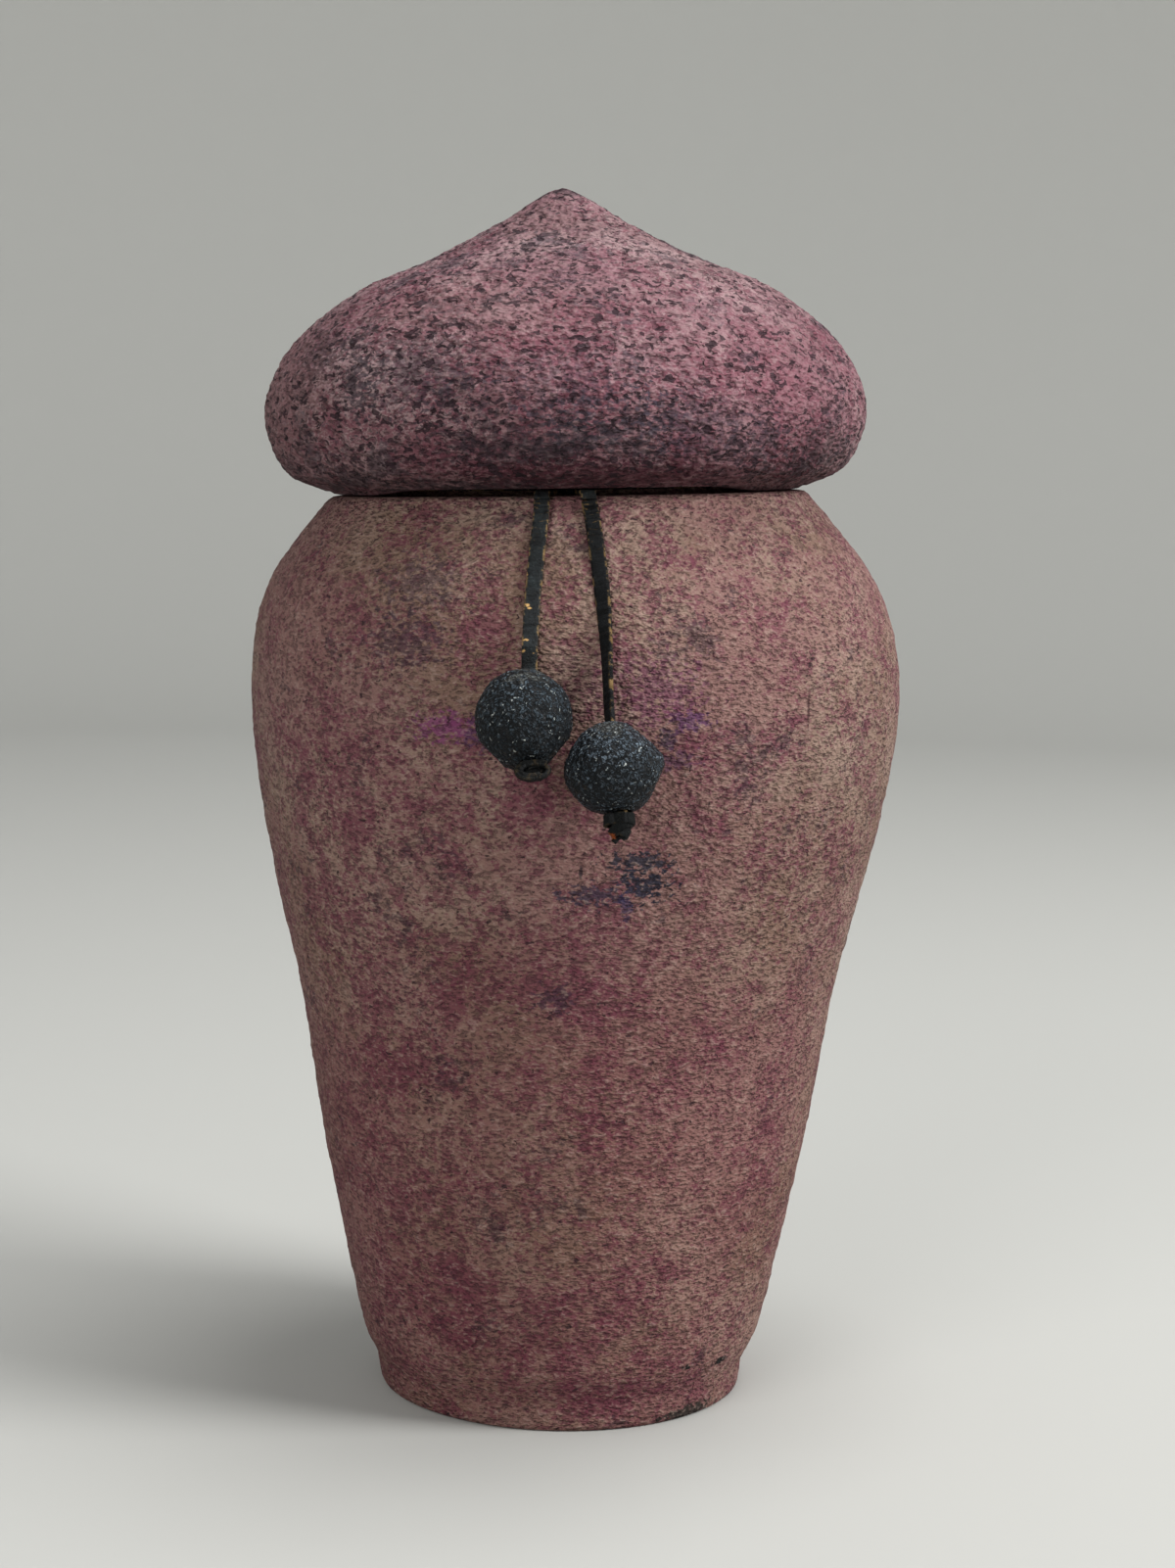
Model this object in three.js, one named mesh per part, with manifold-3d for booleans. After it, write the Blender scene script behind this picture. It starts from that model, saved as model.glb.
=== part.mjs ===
// Lidded ceramic urn: a hand-thrown jar with a set-in foot, its onion-domed lid, and a flat
// leather lace tied round the neck under the lid. Its two tails come out at the front, lie
// down the shoulder, pass through a clay bead each and end in a knot.
// Millimetres, +Z up. The foot stands on z = 0, the front faces -Y, the belly is centred on Z.

import * as THREE from 'three';
import { mergeVertices } from 'three/addons/utils/BufferGeometryUtils.js';
import Module from 'manifold-3d';

const wasm = await Module();
wasm.setup();

const { Vector2, Vector3, MathUtils } = THREE;

// Jar
const footRadius = 41.5;
const footHeight = 6;
const footRingWidth = 7;
const footRecess = 3;
const floorThickness = 7;
const skirtRadius = 45.1;
const skirtHeight = 14.5;
const bellyRadius = 71.6;
const bellyHeight = 158;
const rimRadius = 52.3;
const rimHeight = 200.3;
const jarWall = 6;
const footEdgeRound = 1.7;
const rimEdgeRound = 1.3;
const floorFillet = 10;
const throatFillet = 7;
const smallRound = 0.8;

// Collar that stands up inside the ledge
const collarRadius = 41.3;
const collarWall = 4.5;
const collarHeight = 7;

// The hand-thrown lean: sideways drift of the foot and rim from the belly, and the rim's tip
const footDrift = -0.8;
const rimDrift = -2.4;
const rimTiltDegrees = 1.8;

// Lid
const lidEdgeRadius = 53.7;
const lidRadius = 65.75;
const lidBulgeHeight = 13.5;
const lidHeight = 65.2;
const lidTipRadius = 6.7;
const lidTipDrop = 3;
const lidWall = 7;
const lidOffset = -0.5;
const flangeWall = 5;
const flangeDrop = 7;
const flangeClearance = 1.6;
const ceilingFillet = 4;
const tieRoom = 6.2;
const tieHeadroom = 1.2;

// Lace and beads
const laceWidth = 3.2;
const laceThickness = 1;
const seatGap = 0.3;
const knotWidth = 9;
const knotDepth = 4.4;
const leftKnotWidth = 7.2;
const leftKnotHeight = 3.6;
const rightKnotWidth = 6.4;
const rightKnotHeight = 4.2;
const endKnotDepth = 4.8;
const laceStub = 1.6;
const boreRadius = 2.05;
const leftBeadRadius = 9.5;
const leftBeadHeight = 20.4;
const rightBeadRadius = 9.9;
const rightBeadHeight = 18.8;
const beadGap = 0.4;
const beadToBelly = 1;
const leftBeadLevel = 157;
const beadPairMiddle = -0.75;
const beadPairSlopeDegrees = 25.8;

// Centre lines of the two tails, from the edge of the ledge to the end knots. The last three
// points of each lie in the bead's bore, which is drilled along them
const leftTailRoute = [
  [-7.4, -53.7, 199.35], [-7.4, -55.6, 197.0], [-7.6, -58.1, 194.0], [-7.9, -60.5, 190.9],
  [-8.1, -62.8, 187.8], [-8.3, -64.9, 184.7], [-8.5, -66.7, 181.6], [-8.7, -68.3, 178.3],
  [-8.8, -69.8, 174.9], [-8.9, -71.3, 171.6], [-8.9, -72.9, 168.4], [-8.8, -74.8, 165.2],
  [-8.4, -78.0, 161.1], [-8.0, -81.2, 157.0], [-7.2, -87.6, 148.8],
];
const rightTailRoute = [
  [2.2, -54.0, 199.35], [2.7, -55.9, 197.0], [3.3, -58.4, 194.0], [3.8, -60.8, 190.9],
  [4.3, -63.1, 187.7], [4.8, -65.2, 184.4], [5.2, -67.0, 181.3], [5.6, -68.6, 178.1],
  [5.9, -70.1, 174.8], [6.2, -71.6, 171.4], [6.4, -73.0, 168.0], [6.6, -74.5, 164.5],
  [6.8, -76.0, 161.0], [7.2, -77.8, 156.7], [8.5, -81.5, 148.3], [9.9, -85.4, 139.4],
];
// The same lace on the ledge: sideways place, share of the way from the knot to the ledge's
// edge, and height over the ledge, and then the bend down past that edge
const leftStrap = {
  onLedge: [[-3.1, 0.01, 1.9], [-3.4, 0.29, 0.95], [-4.2, 0.58, 0.8], [-4.8, 0.85, 0.8]],
  pastEdge: [[-4.95, 0.2, 0.6], [-5.0, 1.18, -0.52]],
};
const rightStrap = {
  onLedge: [[3.0, 0.01, 1.9], [3.2, 0.3, 0.95], [3.8, 0.6, 0.8], [4.3, 0.87, 0.8]],
  pastEdge: [[4.45, 0.3, 0.6], [4.54, 1.48, -0.82]],
};

// How the outlines run between their driving points, as shares of height and of radius
const wallRise = [[0.236, 0.28], [0.528, 0.549], [0.806, 0.886]];
const shoulderFall = [[0.52, 0.767]];
const lidFlare = [[0.287, 0.631]];
const lidDome = [[0.197, 0.978], [0.387, 0.872], [0.576, 0.676], [0.69, 0.465], [0.836, 0.237]];

const roundFacets = 48;
const collarInner = collarRadius - collarWall;
const floorTop = footRecess + floorThickness;
const rimTilt = MathUtils.degToRad(rimTiltDegrees);

function paint(hex, roughness) {
  return new THREE.MeshStandardMaterial({ color: hex, roughness, metalness: 0 });
}

// Merge equal vertices and drop the triangles that shrink to nothing on the axis
function closeUp(geometry) {
  const bare = geometry.clone();
  bare.deleteAttribute('normal');
  bare.deleteAttribute('uv');
  const merged = mergeVertices(bare, 1e-4);
  const source = merged.index.array;
  const kept = [];
  for (let i = 0; i < source.length; i += 3) {
    const [a, b, c] = [source[i], source[i + 1], source[i + 2]];
    if (a !== b && b !== c && c !== a) kept.push(a, b, c);
  }
  merged.setIndex(kept);
  merged.computeVertexNormals();
  return merged;
}

function toSolid(geometry) {
  const closed = closeUp(geometry);
  return new wasm.Manifold(new wasm.Mesh({
    numProp: 3,
    vertProperties: new Float32Array(closed.attributes.position.array),
    triVerts: new Uint32Array(closed.index.array),
  }));
}

function fromSolid(solid) {
  const mesh = solid.getMesh();
  const geometry = new THREE.BufferGeometry();
  geometry.setAttribute('position', new THREE.BufferAttribute(new Float32Array(mesh.vertProperties), 3));
  geometry.setIndex(new THREE.BufferAttribute(new Uint32Array(mesh.triVerts), 1));
  geometry.computeVertexNormals();
  return geometry;
}

// A profile of radius and height, turned about the vertical axis
function turn(profile, facets = roundFacets) {
  return closeUp(new THREE.LatheGeometry(profile, facets).rotateX(Math.PI / 2));
}

// Points of an outline between two driving points, placed by shares of the way between them
function between(start, end, shares) {
  return shares.map(([rise, spread]) => new Vector2(
    MathUtils.lerp(start.x, end.x, spread),
    MathUtils.lerp(start.y, end.y, rise),
  ));
}

function bend(start, control, end, steps) {
  return new THREE.QuadraticBezierCurve(start, control, end).getPoints(steps);
}

// The outline moved inwards by a wall thickness, square to its direction
function innerOutline(points, thickness) {
  return points.map((point, i) => {
    const before = points[Math.max(i - 1, 0)];
    const after = points[Math.min(i + 1, points.length - 1)];
    const along = after.clone().sub(before).normalize();
    return new Vector2(point.x - along.y * thickness, point.y + along.x * thickness);
  });
}

// Rings of the jar shift and tip as they rise, as they did under the thrower's hands
function leanJar(geometry) {
  const position = geometry.attributes.position;
  for (let i = 0; i < position.count; i += 1) {
    const [x, y, z] = [position.getX(i), position.getY(i), position.getZ(i)];
    const level = Math.min(z, rimHeight);
    const above = z - level;
    const lower = MathUtils.smoothstep(level, bellyHeight * 0.57, bellyHeight);
    const upper = MathUtils.smoothstep(level, bellyHeight, rimHeight);
    const drift = footDrift * (1 - lower) + rimDrift * upper;
    const tilt = rimTilt * upper;
    position.setX(i, drift + x * Math.cos(tilt) - above * Math.sin(tilt));
    position.setY(i, y);
    position.setZ(i, level + x * Math.sin(tilt) + above * Math.cos(tilt));
  }
  geometry.computeVertexNormals();
  return geometry;
}

function jarWallOutline(steps) {
  const skirt = new Vector2(skirtRadius, skirtHeight);
  const belly = new Vector2(bellyRadius, bellyHeight);
  const rim = new Vector2(rimRadius, rimHeight);
  const shoulder = shoulderFall.map(([fall, share]) => new Vector2(
    MathUtils.lerp(rimRadius, bellyRadius, share),
    MathUtils.lerp(bellyHeight, rimHeight, fall),
  ));
  return new THREE.SplineCurve([skirt, ...between(skirt, belly, wallRise), belly, ...shoulder, rim])
    .getPoints(steps);
}

// The soft step from the foot out to the wall
function waistUnder(skirt) {
  const foot = new Vector2(footRadius, footHeight);
  const rise = (skirt.y - foot.y) / 4;
  const spread = (skirt.x - foot.x) / 6;
  return new THREE.CubicBezierCurve(
    foot,
    new Vector2(foot.x + spread, foot.y + rise),
    new Vector2(skirt.x - spread, skirt.y - rise * 1.5),
    skirt,
  ).getPoints(4);
}

function makeJar() {
  const outside = jarWallOutline(18);
  const ringInner = footRadius - footRingWidth;
  const foot = [
    new Vector2(0, footRecess),
    new Vector2(ringInner - smallRound, footRecess),
    new Vector2(ringInner, footRecess - smallRound),
    new Vector2(ringInner + smallRound, 0),
    ...bend(new Vector2(footRadius - footEdgeRound, 0), new Vector2(footRadius - footEdgeRound / 2, 0),
      new Vector2(footRadius - footEdgeRound * 0.4, footEdgeRound * 0.7), 2),
    ...waistUnder(outside[0]),
  ];
  const corner = outside.at(-1);
  const beforeCorner = outside.at(-2).clone().lerp(corner, 0.8);
  const ledge = [
    ...bend(beforeCorner, corner, new Vector2(rimRadius - rimEdgeRound, rimHeight), 3),
    ...bend(new Vector2(collarRadius + smallRound, rimHeight), new Vector2(collarRadius, rimHeight),
      new Vector2(collarRadius, rimHeight + smallRound), 1),
  ];
  const collarTop = new THREE.Path()
    .absarc(collarRadius - collarWall / 2, rimHeight + collarHeight - collarWall / 2,
      collarWall / 2, 0, Math.PI, false)
    .getPoints(4);
  const inside = innerOutline(jarWallOutline(10), jarWall)
    .filter((point) => point.y > floorTop + floorFillet * 0.8 && point.y < rimHeight - jarWall * 1.5)
    .reverse();
  const underLedge = rimHeight - jarWall;
  const throat = [
    ...bend(new Vector2(collarInner, underLedge + smallRound * 2), new Vector2(collarInner, underLedge),
      new Vector2(collarInner + smallRound * 2, underLedge), 2),
    ...bend(new Vector2(inside[0].x - throatFillet, underLedge),
      new Vector2(inside[0].x - throatFillet * 0.2, underLedge - smallRound / 2), inside[0], 3).slice(0, -1),
  ];
  const lowest = inside.at(-1);
  const floor = [
    ...bend(lowest, new Vector2(lowest.x - floorFillet * 0.2, floorTop),
      new Vector2(lowest.x - floorFillet, floorTop), 3).slice(1),
    new Vector2(0, floorTop),
  ];
  const profile = [...foot, ...outside.slice(1, -1), ...ledge, ...collarTop, ...throat, ...inside, ...floor];
  return leanJar(turn(profile));
}

// Heights in the lid are measured from the flat underside that rests on the ledge
const grooveRadius = collarRadius + tieRoom;
const grooveDepth = collarHeight + tieHeadroom;
const flangeRadius = collarInner - flangeClearance;
const lidBackLift = seatGap;
const lidFrontLift = laceThickness + 2 * seatGap;

function lidOutline(steps) {
  const edge = new Vector2(lidEdgeRadius, smallRound * 0.4);
  const bulge = new Vector2(lidRadius, lidBulgeHeight);
  const dome = lidDome.map(([rise, share]) => new Vector2(
    lidRadius * share,
    MathUtils.lerp(lidBulgeHeight, lidHeight, rise),
  ));
  const apex = new Vector2(0, lidHeight);
  const shoulder = new Vector2(lidTipRadius, lidHeight - lidTipDrop);
  const side = new THREE.SplineCurve([edge, ...between(edge, bulge, lidFlare), bulge, ...dome, shoulder]);
  const tip = bend(shoulder, new Vector2(lidTipRadius / 4, lidHeight), apex, 4);
  return [...side.getPoints(steps), ...tip.slice(1)];
}

function makeLid() {
  const outside = lidOutline(20);
  const ceiling = grooveDepth + lidWall * 0.85;
  const flangeInner = flangeRadius - flangeWall;
  const inside = innerOutline(lidOutline(10), lidWall)
    .filter((point) => point.x > smallRound && point.y > ceiling + ceilingFillet)
    .reverse();
  const outerCorner = inside.at(-1);
  const cavity = [
    new Vector2(0, inside[0].y + inside[0].x * 0.3),
    ...inside.slice(0, -1),
    ...bend(outerCorner, new Vector2(outerCorner.x, ceiling),
      new Vector2(outerCorner.x - ceilingFillet, ceiling), 2),
    ...bend(new Vector2(flangeInner + ceilingFillet / 2, ceiling), new Vector2(flangeInner, ceiling),
      new Vector2(flangeInner, ceiling - ceilingFillet / 2), 2),
  ];
  const flangeEnd = new THREE.Path()
    .absarc(flangeRadius - flangeWall / 2, flangeWall / 2 - flangeDrop,
      flangeWall / 2, Math.PI, 2 * Math.PI, false)
    .getPoints(4);
  const groove = [
    new Vector2(flangeRadius, grooveDepth - smallRound),
    new Vector2(flangeRadius + smallRound, grooveDepth),
    new Vector2(grooveRadius - smallRound, grooveDepth),
    new Vector2(grooveRadius, grooveDepth - smallRound),
    new Vector2(grooveRadius, smallRound / 2),
    new Vector2(grooveRadius + smallRound / 2, 0),
    new Vector2(lidEdgeRadius - smallRound, 0),
  ];
  return turn([...cavity, ...flangeEnd, ...groove, ...outside]);
}

// Flat lace along a route: eight corners round, laid flat side down
function makeStrap(route, steps) {
  const [w, t] = [laceWidth / 2, laceThickness / 2];
  const section = new THREE.Shape([
    new Vector2(-w, -t * 0.5), new Vector2(-w * 0.85, -t),
    new Vector2(w * 0.85, -t), new Vector2(w, -t * 0.5),
    new Vector2(w, t * 0.5), new Vector2(w * 0.85, t),
    new Vector2(-w * 0.85, t), new Vector2(-w, t * 0.5),
  ]);
  const path = new THREE.CatmullRomCurve3(route.map((point) => new Vector3(...point)));
  return new THREE.ExtrudeGeometry(section, { steps, extrudePath: path, curveSegments: 1 });
}

// One turn of the lace round the collar, open at the front for the knot
function makeLoop() {
  const inner = collarRadius + seatGap;
  const outer = inner + laceThickness;
  const half = (knotWidth / 2 + seatGap) / inner;
  const front = -Math.PI / 2;
  const band = new THREE.Shape()
    .absarc(0, 0, outer, front + half, front + 2 * Math.PI - half, false)
    .absarc(0, 0, inner, front + 2 * Math.PI - half, front + half, true);
  const curveSegments = roundFacets * 0.75;
  return new THREE.ExtrudeGeometry(band, { depth: laceWidth, bevelEnabled: false, curveSegments })
    .translate(0, 0, smallRound + seatGap);
}

function makeLump(width, depth, height) {
  return new THREE.SphereGeometry(0.5, 14, 8).rotateX(Math.PI / 2).scale(width, depth, height);
}

// The knot in front of the collar with the two straps that run from it over the ledge
const knotMiddle = collarRadius + seatGap + knotDepth / 2;

function makeLedgeStrap({ onLedge, pastEdge }) {
  const inner = onLedge.map(([x, share, z]) => [x, -MathUtils.lerp(knotMiddle, rimRadius, share), z]);
  const outer = pastEdge.map(([x, past, z]) => [x, -(rimRadius + past), z]);
  return toSolid(makeStrap([...inner, ...outer], 10));
}

function makeTieKnot() {
  const lump = makeLump(knotWidth, knotDepth, knotDepth);
  const knot = toSolid(lump.translate(0, -knotMiddle, seatGap + knotDepth / 2));
  return fromSolid(knot.add(makeLedgeStrap(leftStrap)).add(makeLedgeStrap(rightStrap)));
}

// Bead outline: a rounded barrel, fuller or leaner with its power, that tapers along its bore
function beadOutline(radius, height, power, taper) {
  const points = [];
  const steps = 12;
  for (let i = 0; i <= steps; i += 1) {
    const angle = MathUtils.lerp(-Math.PI / 2, Math.PI / 2, i / steps);
    const across = Math.abs(Math.cos(angle)) ** (2 / power);
    const up = Math.sign(Math.sin(angle)) * Math.abs(Math.sin(angle)) ** (2 / power);
    const end = i === 0 || i === steps;
    points.push(new Vector2(end ? 0 : radius * across * (1 + taper * up), (height / 2) * up));
  }
  return points;
}

// Places of the beads: side by side with a small gap, each against the belly behind it
const beadSpan = leftBeadRadius + rightBeadRadius + beadGap;
const beadSlope = MathUtils.degToRad(beadPairSlopeDegrees);

function wallRadiusAt(height) {
  const outline = jarWallOutline(18);
  const above = outline.findIndex((point) => point.y > height);
  const [low, high] = [outline[above - 1], outline[above]];
  return MathUtils.mapLinear(height, low.y, high.y, low.x, high.x);
}

function beadCentre(side, radius, level) {
  const x = beadPairMiddle + side * 0.5 * beadSpan * Math.cos(beadSlope);
  const reach = wallRadiusAt(level) + beadToBelly + radius;
  return new Vector3(x, -Math.sqrt(reach * reach - x * x), level);
}

// The direction back up the lace from its end, along the bore of its bead
function upTheLace(route) {
  return new Vector3(...route.at(-3)).sub(new Vector3(...route.at(-1))).normalize();
}

function alongLace(route) {
  return new THREE.Quaternion().setFromUnitVectors(new Vector3(0, 0, 1), upTheLace(route));
}

// Softly flattened sides of a bead that was rolled by hand: the way each side faces, and how
// far it lies from the middle as a share of the bead's radius
function pressFlats(geometry, radius, flats) {
  const position = geometry.attributes.position;
  const point = new Vector3();
  for (let i = 0; i < position.count; i += 1) {
    point.fromBufferAttribute(position, i);
    for (const [direction, share] of flats) {
      const way = new Vector3(...direction).normalize();
      point.addScaledVector(way, -0.8 * Math.max(point.dot(way) - share * radius, 0));
    }
    position.setXYZ(i, point.x, point.y, point.z);
  }
  return geometry;
}

function makeBead({ radius, height, power, taper, flats, centre, route }) {
  const turned = alongLace(route);
  const round = turn(beadOutline(radius, height, power, taper), 24).applyQuaternion(turned);
  const ball = pressFlats(round, radius, flats).translate(centre.x, centre.y, centre.z);
  const bore = new THREE.CylinderGeometry(boreRadius, boreRadius, height * 1.6, 16)
    .rotateX(Math.PI / 2)
    .applyQuaternion(turned)
    .translate(...route.at(-2));
  return fromSolid(toSolid(ball).subtract(toSolid(bore)));
}

// A knot against the bead's lower end, with the cut end of the lace just standing out of it
function makeEndKnot(route, width, height) {
  const middle = new Vector3(...route.at(-1)).addScaledVector(upTheLace(route), -(seatGap + height / 2));
  const lump = toSolid(makeLump(width, endKnotDepth, height));
  const stub = toSolid(new THREE.BoxGeometry(laceWidth, laceThickness, laceStub * 2)
    .translate(0, 0, -height / 2));
  return fromSolid(lump.add(stub)).applyQuaternion(alongLace(route)).translate(middle.x, middle.y, middle.z);
}

const urn = new THREE.Group();
const neck = new THREE.Group();
const lidSeat = new THREE.Group();
neck.position.set(rimDrift, 0, rimHeight);
neck.rotation.y = -rimTilt;
lidSeat.position.set(lidOffset, 0, (lidBackLift + lidFrontLift) / 2);
lidSeat.rotation.x = -Math.asin((lidFrontLift - lidBackLift) / (2 * rimRadius));
urn.add(neck);
neck.add(lidSeat);

function put(parent, name, geometry, material) {
  const mesh = new THREE.Mesh(geometry, material);
  mesh.name = name;
  parent.add(mesh);
}

const rightBeadLevel = leftBeadLevel - beadSpan * Math.sin(beadSlope);

put(urn, 'urn_body', makeJar(), paint(0x664d4a, 0.9));
put(lidSeat, 'lid', makeLid(), paint(0x6e565c, 0.9));
put(neck, 'lace_loop', makeLoop(), paint(0x2b2c2e, 0.7));
put(neck, 'lace_knot', makeTieKnot(), paint(0x2b2c2e, 0.7));
put(urn, 'left_lace', makeStrap(leftTailRoute, 22), paint(0x33353a, 0.7));
put(urn, 'right_lace', makeStrap(rightTailRoute, 24), paint(0x33353a, 0.7));
put(urn, 'left_bead', makeBead({
  radius: leftBeadRadius,
  height: leftBeadHeight,
  power: 2,
  taper: 0.06,
  flats: [[[-0.73, -0.1, -0.68], 0.935], [[0.8, -0.1, -0.6], 0.935]],
  centre: beadCentre(-1, leftBeadRadius, leftBeadLevel),
  route: leftTailRoute,
}), paint(0x2c2f33, 0.85));
put(urn, 'right_bead', makeBead({
  radius: rightBeadRadius,
  height: rightBeadHeight,
  power: 1.85,
  taper: -0.03,
  flats: [
    [[0.62, -0.1, 0.79], 0.8],
    [[0.9, -0.1, -0.43], 0.86],
    [[-0.8, -0.1, 0.6], 0.93],
    [[0, 0, -1], 0.92],
    [[0, 0, 1], 0.91],
  ],
  centre: beadCentre(1, rightBeadRadius, rightBeadLevel),
  route: rightTailRoute,
}), paint(0x2c2f33, 0.85));
const leftEndKnot = makeEndKnot(leftTailRoute, leftKnotWidth, leftKnotHeight);
const rightEndKnot = makeEndKnot(rightTailRoute, rightKnotWidth, rightKnotHeight);
put(urn, 'left_end_knot', leftEndKnot, paint(0x26272a, 0.7));
put(urn, 'right_end_knot', rightEndKnot, paint(0x2a241f, 0.7));

export default urn;
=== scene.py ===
import math

import bmesh
import bpy
from mathutils import Matrix, Vector, noise


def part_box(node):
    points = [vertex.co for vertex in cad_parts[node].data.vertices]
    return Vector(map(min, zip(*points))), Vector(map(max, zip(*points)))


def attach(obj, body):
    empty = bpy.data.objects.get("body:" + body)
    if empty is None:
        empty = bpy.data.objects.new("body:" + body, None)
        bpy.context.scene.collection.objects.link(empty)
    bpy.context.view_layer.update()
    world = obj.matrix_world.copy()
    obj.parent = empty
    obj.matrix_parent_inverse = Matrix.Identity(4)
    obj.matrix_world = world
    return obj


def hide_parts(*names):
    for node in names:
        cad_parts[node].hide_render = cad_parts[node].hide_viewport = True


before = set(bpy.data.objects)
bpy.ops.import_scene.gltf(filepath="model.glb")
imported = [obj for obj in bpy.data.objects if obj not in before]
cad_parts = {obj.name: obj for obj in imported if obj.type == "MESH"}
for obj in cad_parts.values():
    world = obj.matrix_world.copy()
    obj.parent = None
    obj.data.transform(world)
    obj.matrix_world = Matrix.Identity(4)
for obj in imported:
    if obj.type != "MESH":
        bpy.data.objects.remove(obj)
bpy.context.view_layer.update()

mm = 0.001
up = Vector((0, 0, 1))
nearby = 1e-6  # m, places closer than this are one place


camera = {
    "place": (2.97, -634.8, 209.8),  # mm, a little right of the middle and above the neck
    "pitch": 83.33,  # degrees from straight down
    "roll": 0.019,  # radians
    "lens": 65.66,
    "sensor": 36,
    "clip": (0.02, 20),  # m
}


def setCamera(settings):
    data = bpy.data.cameras.new("camera")
    data.sensor_fit = "VERTICAL"
    data.sensor_height = settings["sensor"]
    data.lens = settings["lens"]
    data.clip_start, data.clip_end = settings["clip"]
    cam = bpy.data.objects.new("camera", data)
    turned = Matrix.Rotation(math.radians(settings["pitch"]), 4, "X")
    rolled = Matrix.Rotation(settings["roll"], 4, "Z")
    cam.matrix_world = Matrix.Translation(Vector(settings["place"]) * mm) @ turned @ rolled
    bpy.context.collection.objects.link(cam)
    bpy.context.scene.camera = cam


setCamera(camera)


def smoothLine(points, count):
    # a smooth line through points given in mm, as count + 1 places in metres
    spots = [Vector(point) * mm for point in points]
    line = []
    for i in range(count + 1):
        way = i / count * (len(spots) - 1)
        k = min(int(way), len(spots) - 2)
        t = way - k
        a, b, c, d = (spots[max(k - 1, 0)], spots[k], spots[k + 1], spots[min(k + 2, len(spots) - 1)])
        bend = 2 * b + (c - a) * t + (2 * a - 5 * b + 4 * c - d) * t ** 2
        line.append((bend + (3 * b - a - 3 * c + d) * t ** 3) / 2)
    return line


def evenly(line, spacing):
    # the same line with its points about spacing metres apart
    lengths = [(b - a).length for a, b in zip(line, line[1:])]
    total = sum(lengths)
    count = max(2, round(total / spacing))
    spots = [line[0].copy()]
    k = 0
    walked = 0
    for i in range(1, count):
        target = total * i / count
        while walked + lengths[k] < target:
            walked += lengths[k]
            k += 1
        spots.append(line[k].lerp(line[k + 1], (target - walked) / lengths[k]))
    spots.append(line[-1].copy())
    return spots


def joinLines(parts):
    # one outline from stretches in turn, each with its own spacing in mm
    profile = []
    for line, spacing in parts:
        if profile and (profile[-1] - line[0]).length > nearby:
            profile += evenly([profile[-1], line[0]], spacing * mm)[1:]
        profile += evenly(line, spacing * mm)[1 if profile else 0:]
    return profile


def turnShell(profile, steps, closed=False):
    # an outline of radius and height, spun into a shell; closed joins its two ends too
    mesh = bmesh.new()
    verts = [mesh.verts.new((point.x, 0, point.y)) for point in profile]
    following = verts[1:] + verts[:1] if closed else verts[1:]
    edges = [mesh.edges.new(pair) for pair in zip(verts, following)]
    bmesh.ops.spin(mesh, geom=verts + edges, axis=up, cent=(0, 0, 0), angle=2 * math.pi, steps=steps,
                   use_merge=True)
    bmesh.ops.remove_doubles(mesh, verts=mesh.verts, dist=nearby)
    bmesh.ops.recalc_face_normals(mesh, faces=mesh.faces)
    mesh.normal_update()
    return mesh


def fillCore(mesh, place, size, segments=24):
    # a lump inside wound lace, size in mm, so that no gap shows through it
    core = bmesh.ops.create_uvsphere(
        mesh, u_segments=segments, v_segments=segments * 2 // 3, radius=1,
    )["verts"]
    bmesh.ops.scale(mesh, vec=Vector(size) * mm, verts=core)
    bmesh.ops.transform(mesh, matrix=place, verts=core)


def placeMesh(mesh, name, material):
    # a bmesh becomes a smooth object of one material
    data = bpy.data.meshes.new(name)
    mesh.to_mesh(data)
    mesh.free()
    data.polygons.foreach_set("use_smooth", [True] * len(data.polygons))
    data.materials.append(material)
    placed = bpy.data.objects.new(name, data)
    bpy.context.collection.objects.link(placed)
    return placed


def finishPiece(mesh, name, body, material, nodes):
    # a piece that rides on a body and stands for CAD nodes
    piece = placeMesh(mesh, name, material)
    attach(piece, body)
    if nodes:
        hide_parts(*nodes)
    return piece


def smoothStep(low, high, value):
    # 0 at low, 1 at high, smoothly between; low may be the larger one
    t = min(max((value - low) / (high - low), 0), 1)
    return t * t * (3 - 2 * t)


def swatch(red, green, blue):
    # a colour as it looks on screen, 0 to 255, as the values that a socket takes
    def linear(level):
        share = level / 255
        return share / 12.92 if share <= 0.04045 else ((share + 0.055) / 1.055) ** 2.4
    return (linear(red), linear(green), linear(blue), 1)


def addNode(tree, kind, inputs=None, **settings):
    node = tree.nodes.new(kind)
    for name, value in settings.items():
        setattr(node, name, value)
    for name, value in (inputs or {}).items():
        if isinstance(value, bpy.types.NodeSocket):
            tree.links.new(value, node.inputs[name])
        else:
            node.inputs[name].default_value = value
    return node


def calc(tree, operation, a, b=0.0):
    return addNode(tree, "ShaderNodeMath", {0: a, 1: b}, operation=operation).outputs[0]


def times(tree, a, b):
    return calc(tree, "MULTIPLY", a, b)


def plus(tree, a, b):
    return calc(tree, "ADD", a, b)


def minus(tree, a, b):
    return calc(tree, "SUBTRACT", a, b)


def vectorCalc(tree, operation, a, b=(0, 0, 0)):
    return addNode(tree, "ShaderNodeVectorMath", {0: a, 1: b}, operation=operation).outputs


def heightOf(tree, vector):
    return addNode(tree, "ShaderNodeSeparateXYZ", {"Vector": vector}).outputs["Z"]


def fade(tree, value, low, high, start=0.0, end=1.0):
    # start below low, end above high, smoothly between
    inputs = {"Value": value, "From Min": low, "From Max": high, "To Min": start, "To Max": end}
    return addNode(tree, "ShaderNodeMapRange", inputs, interpolation_type="SMOOTHSTEP").outputs[0]


def blendColour(tree, share, first, second, how="MIX"):
    node = addNode(tree, "ShaderNodeMix", {0: share, 6: first, 7: second}, data_type="RGBA", blend_type=how)
    return node.outputs[2]


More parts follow.
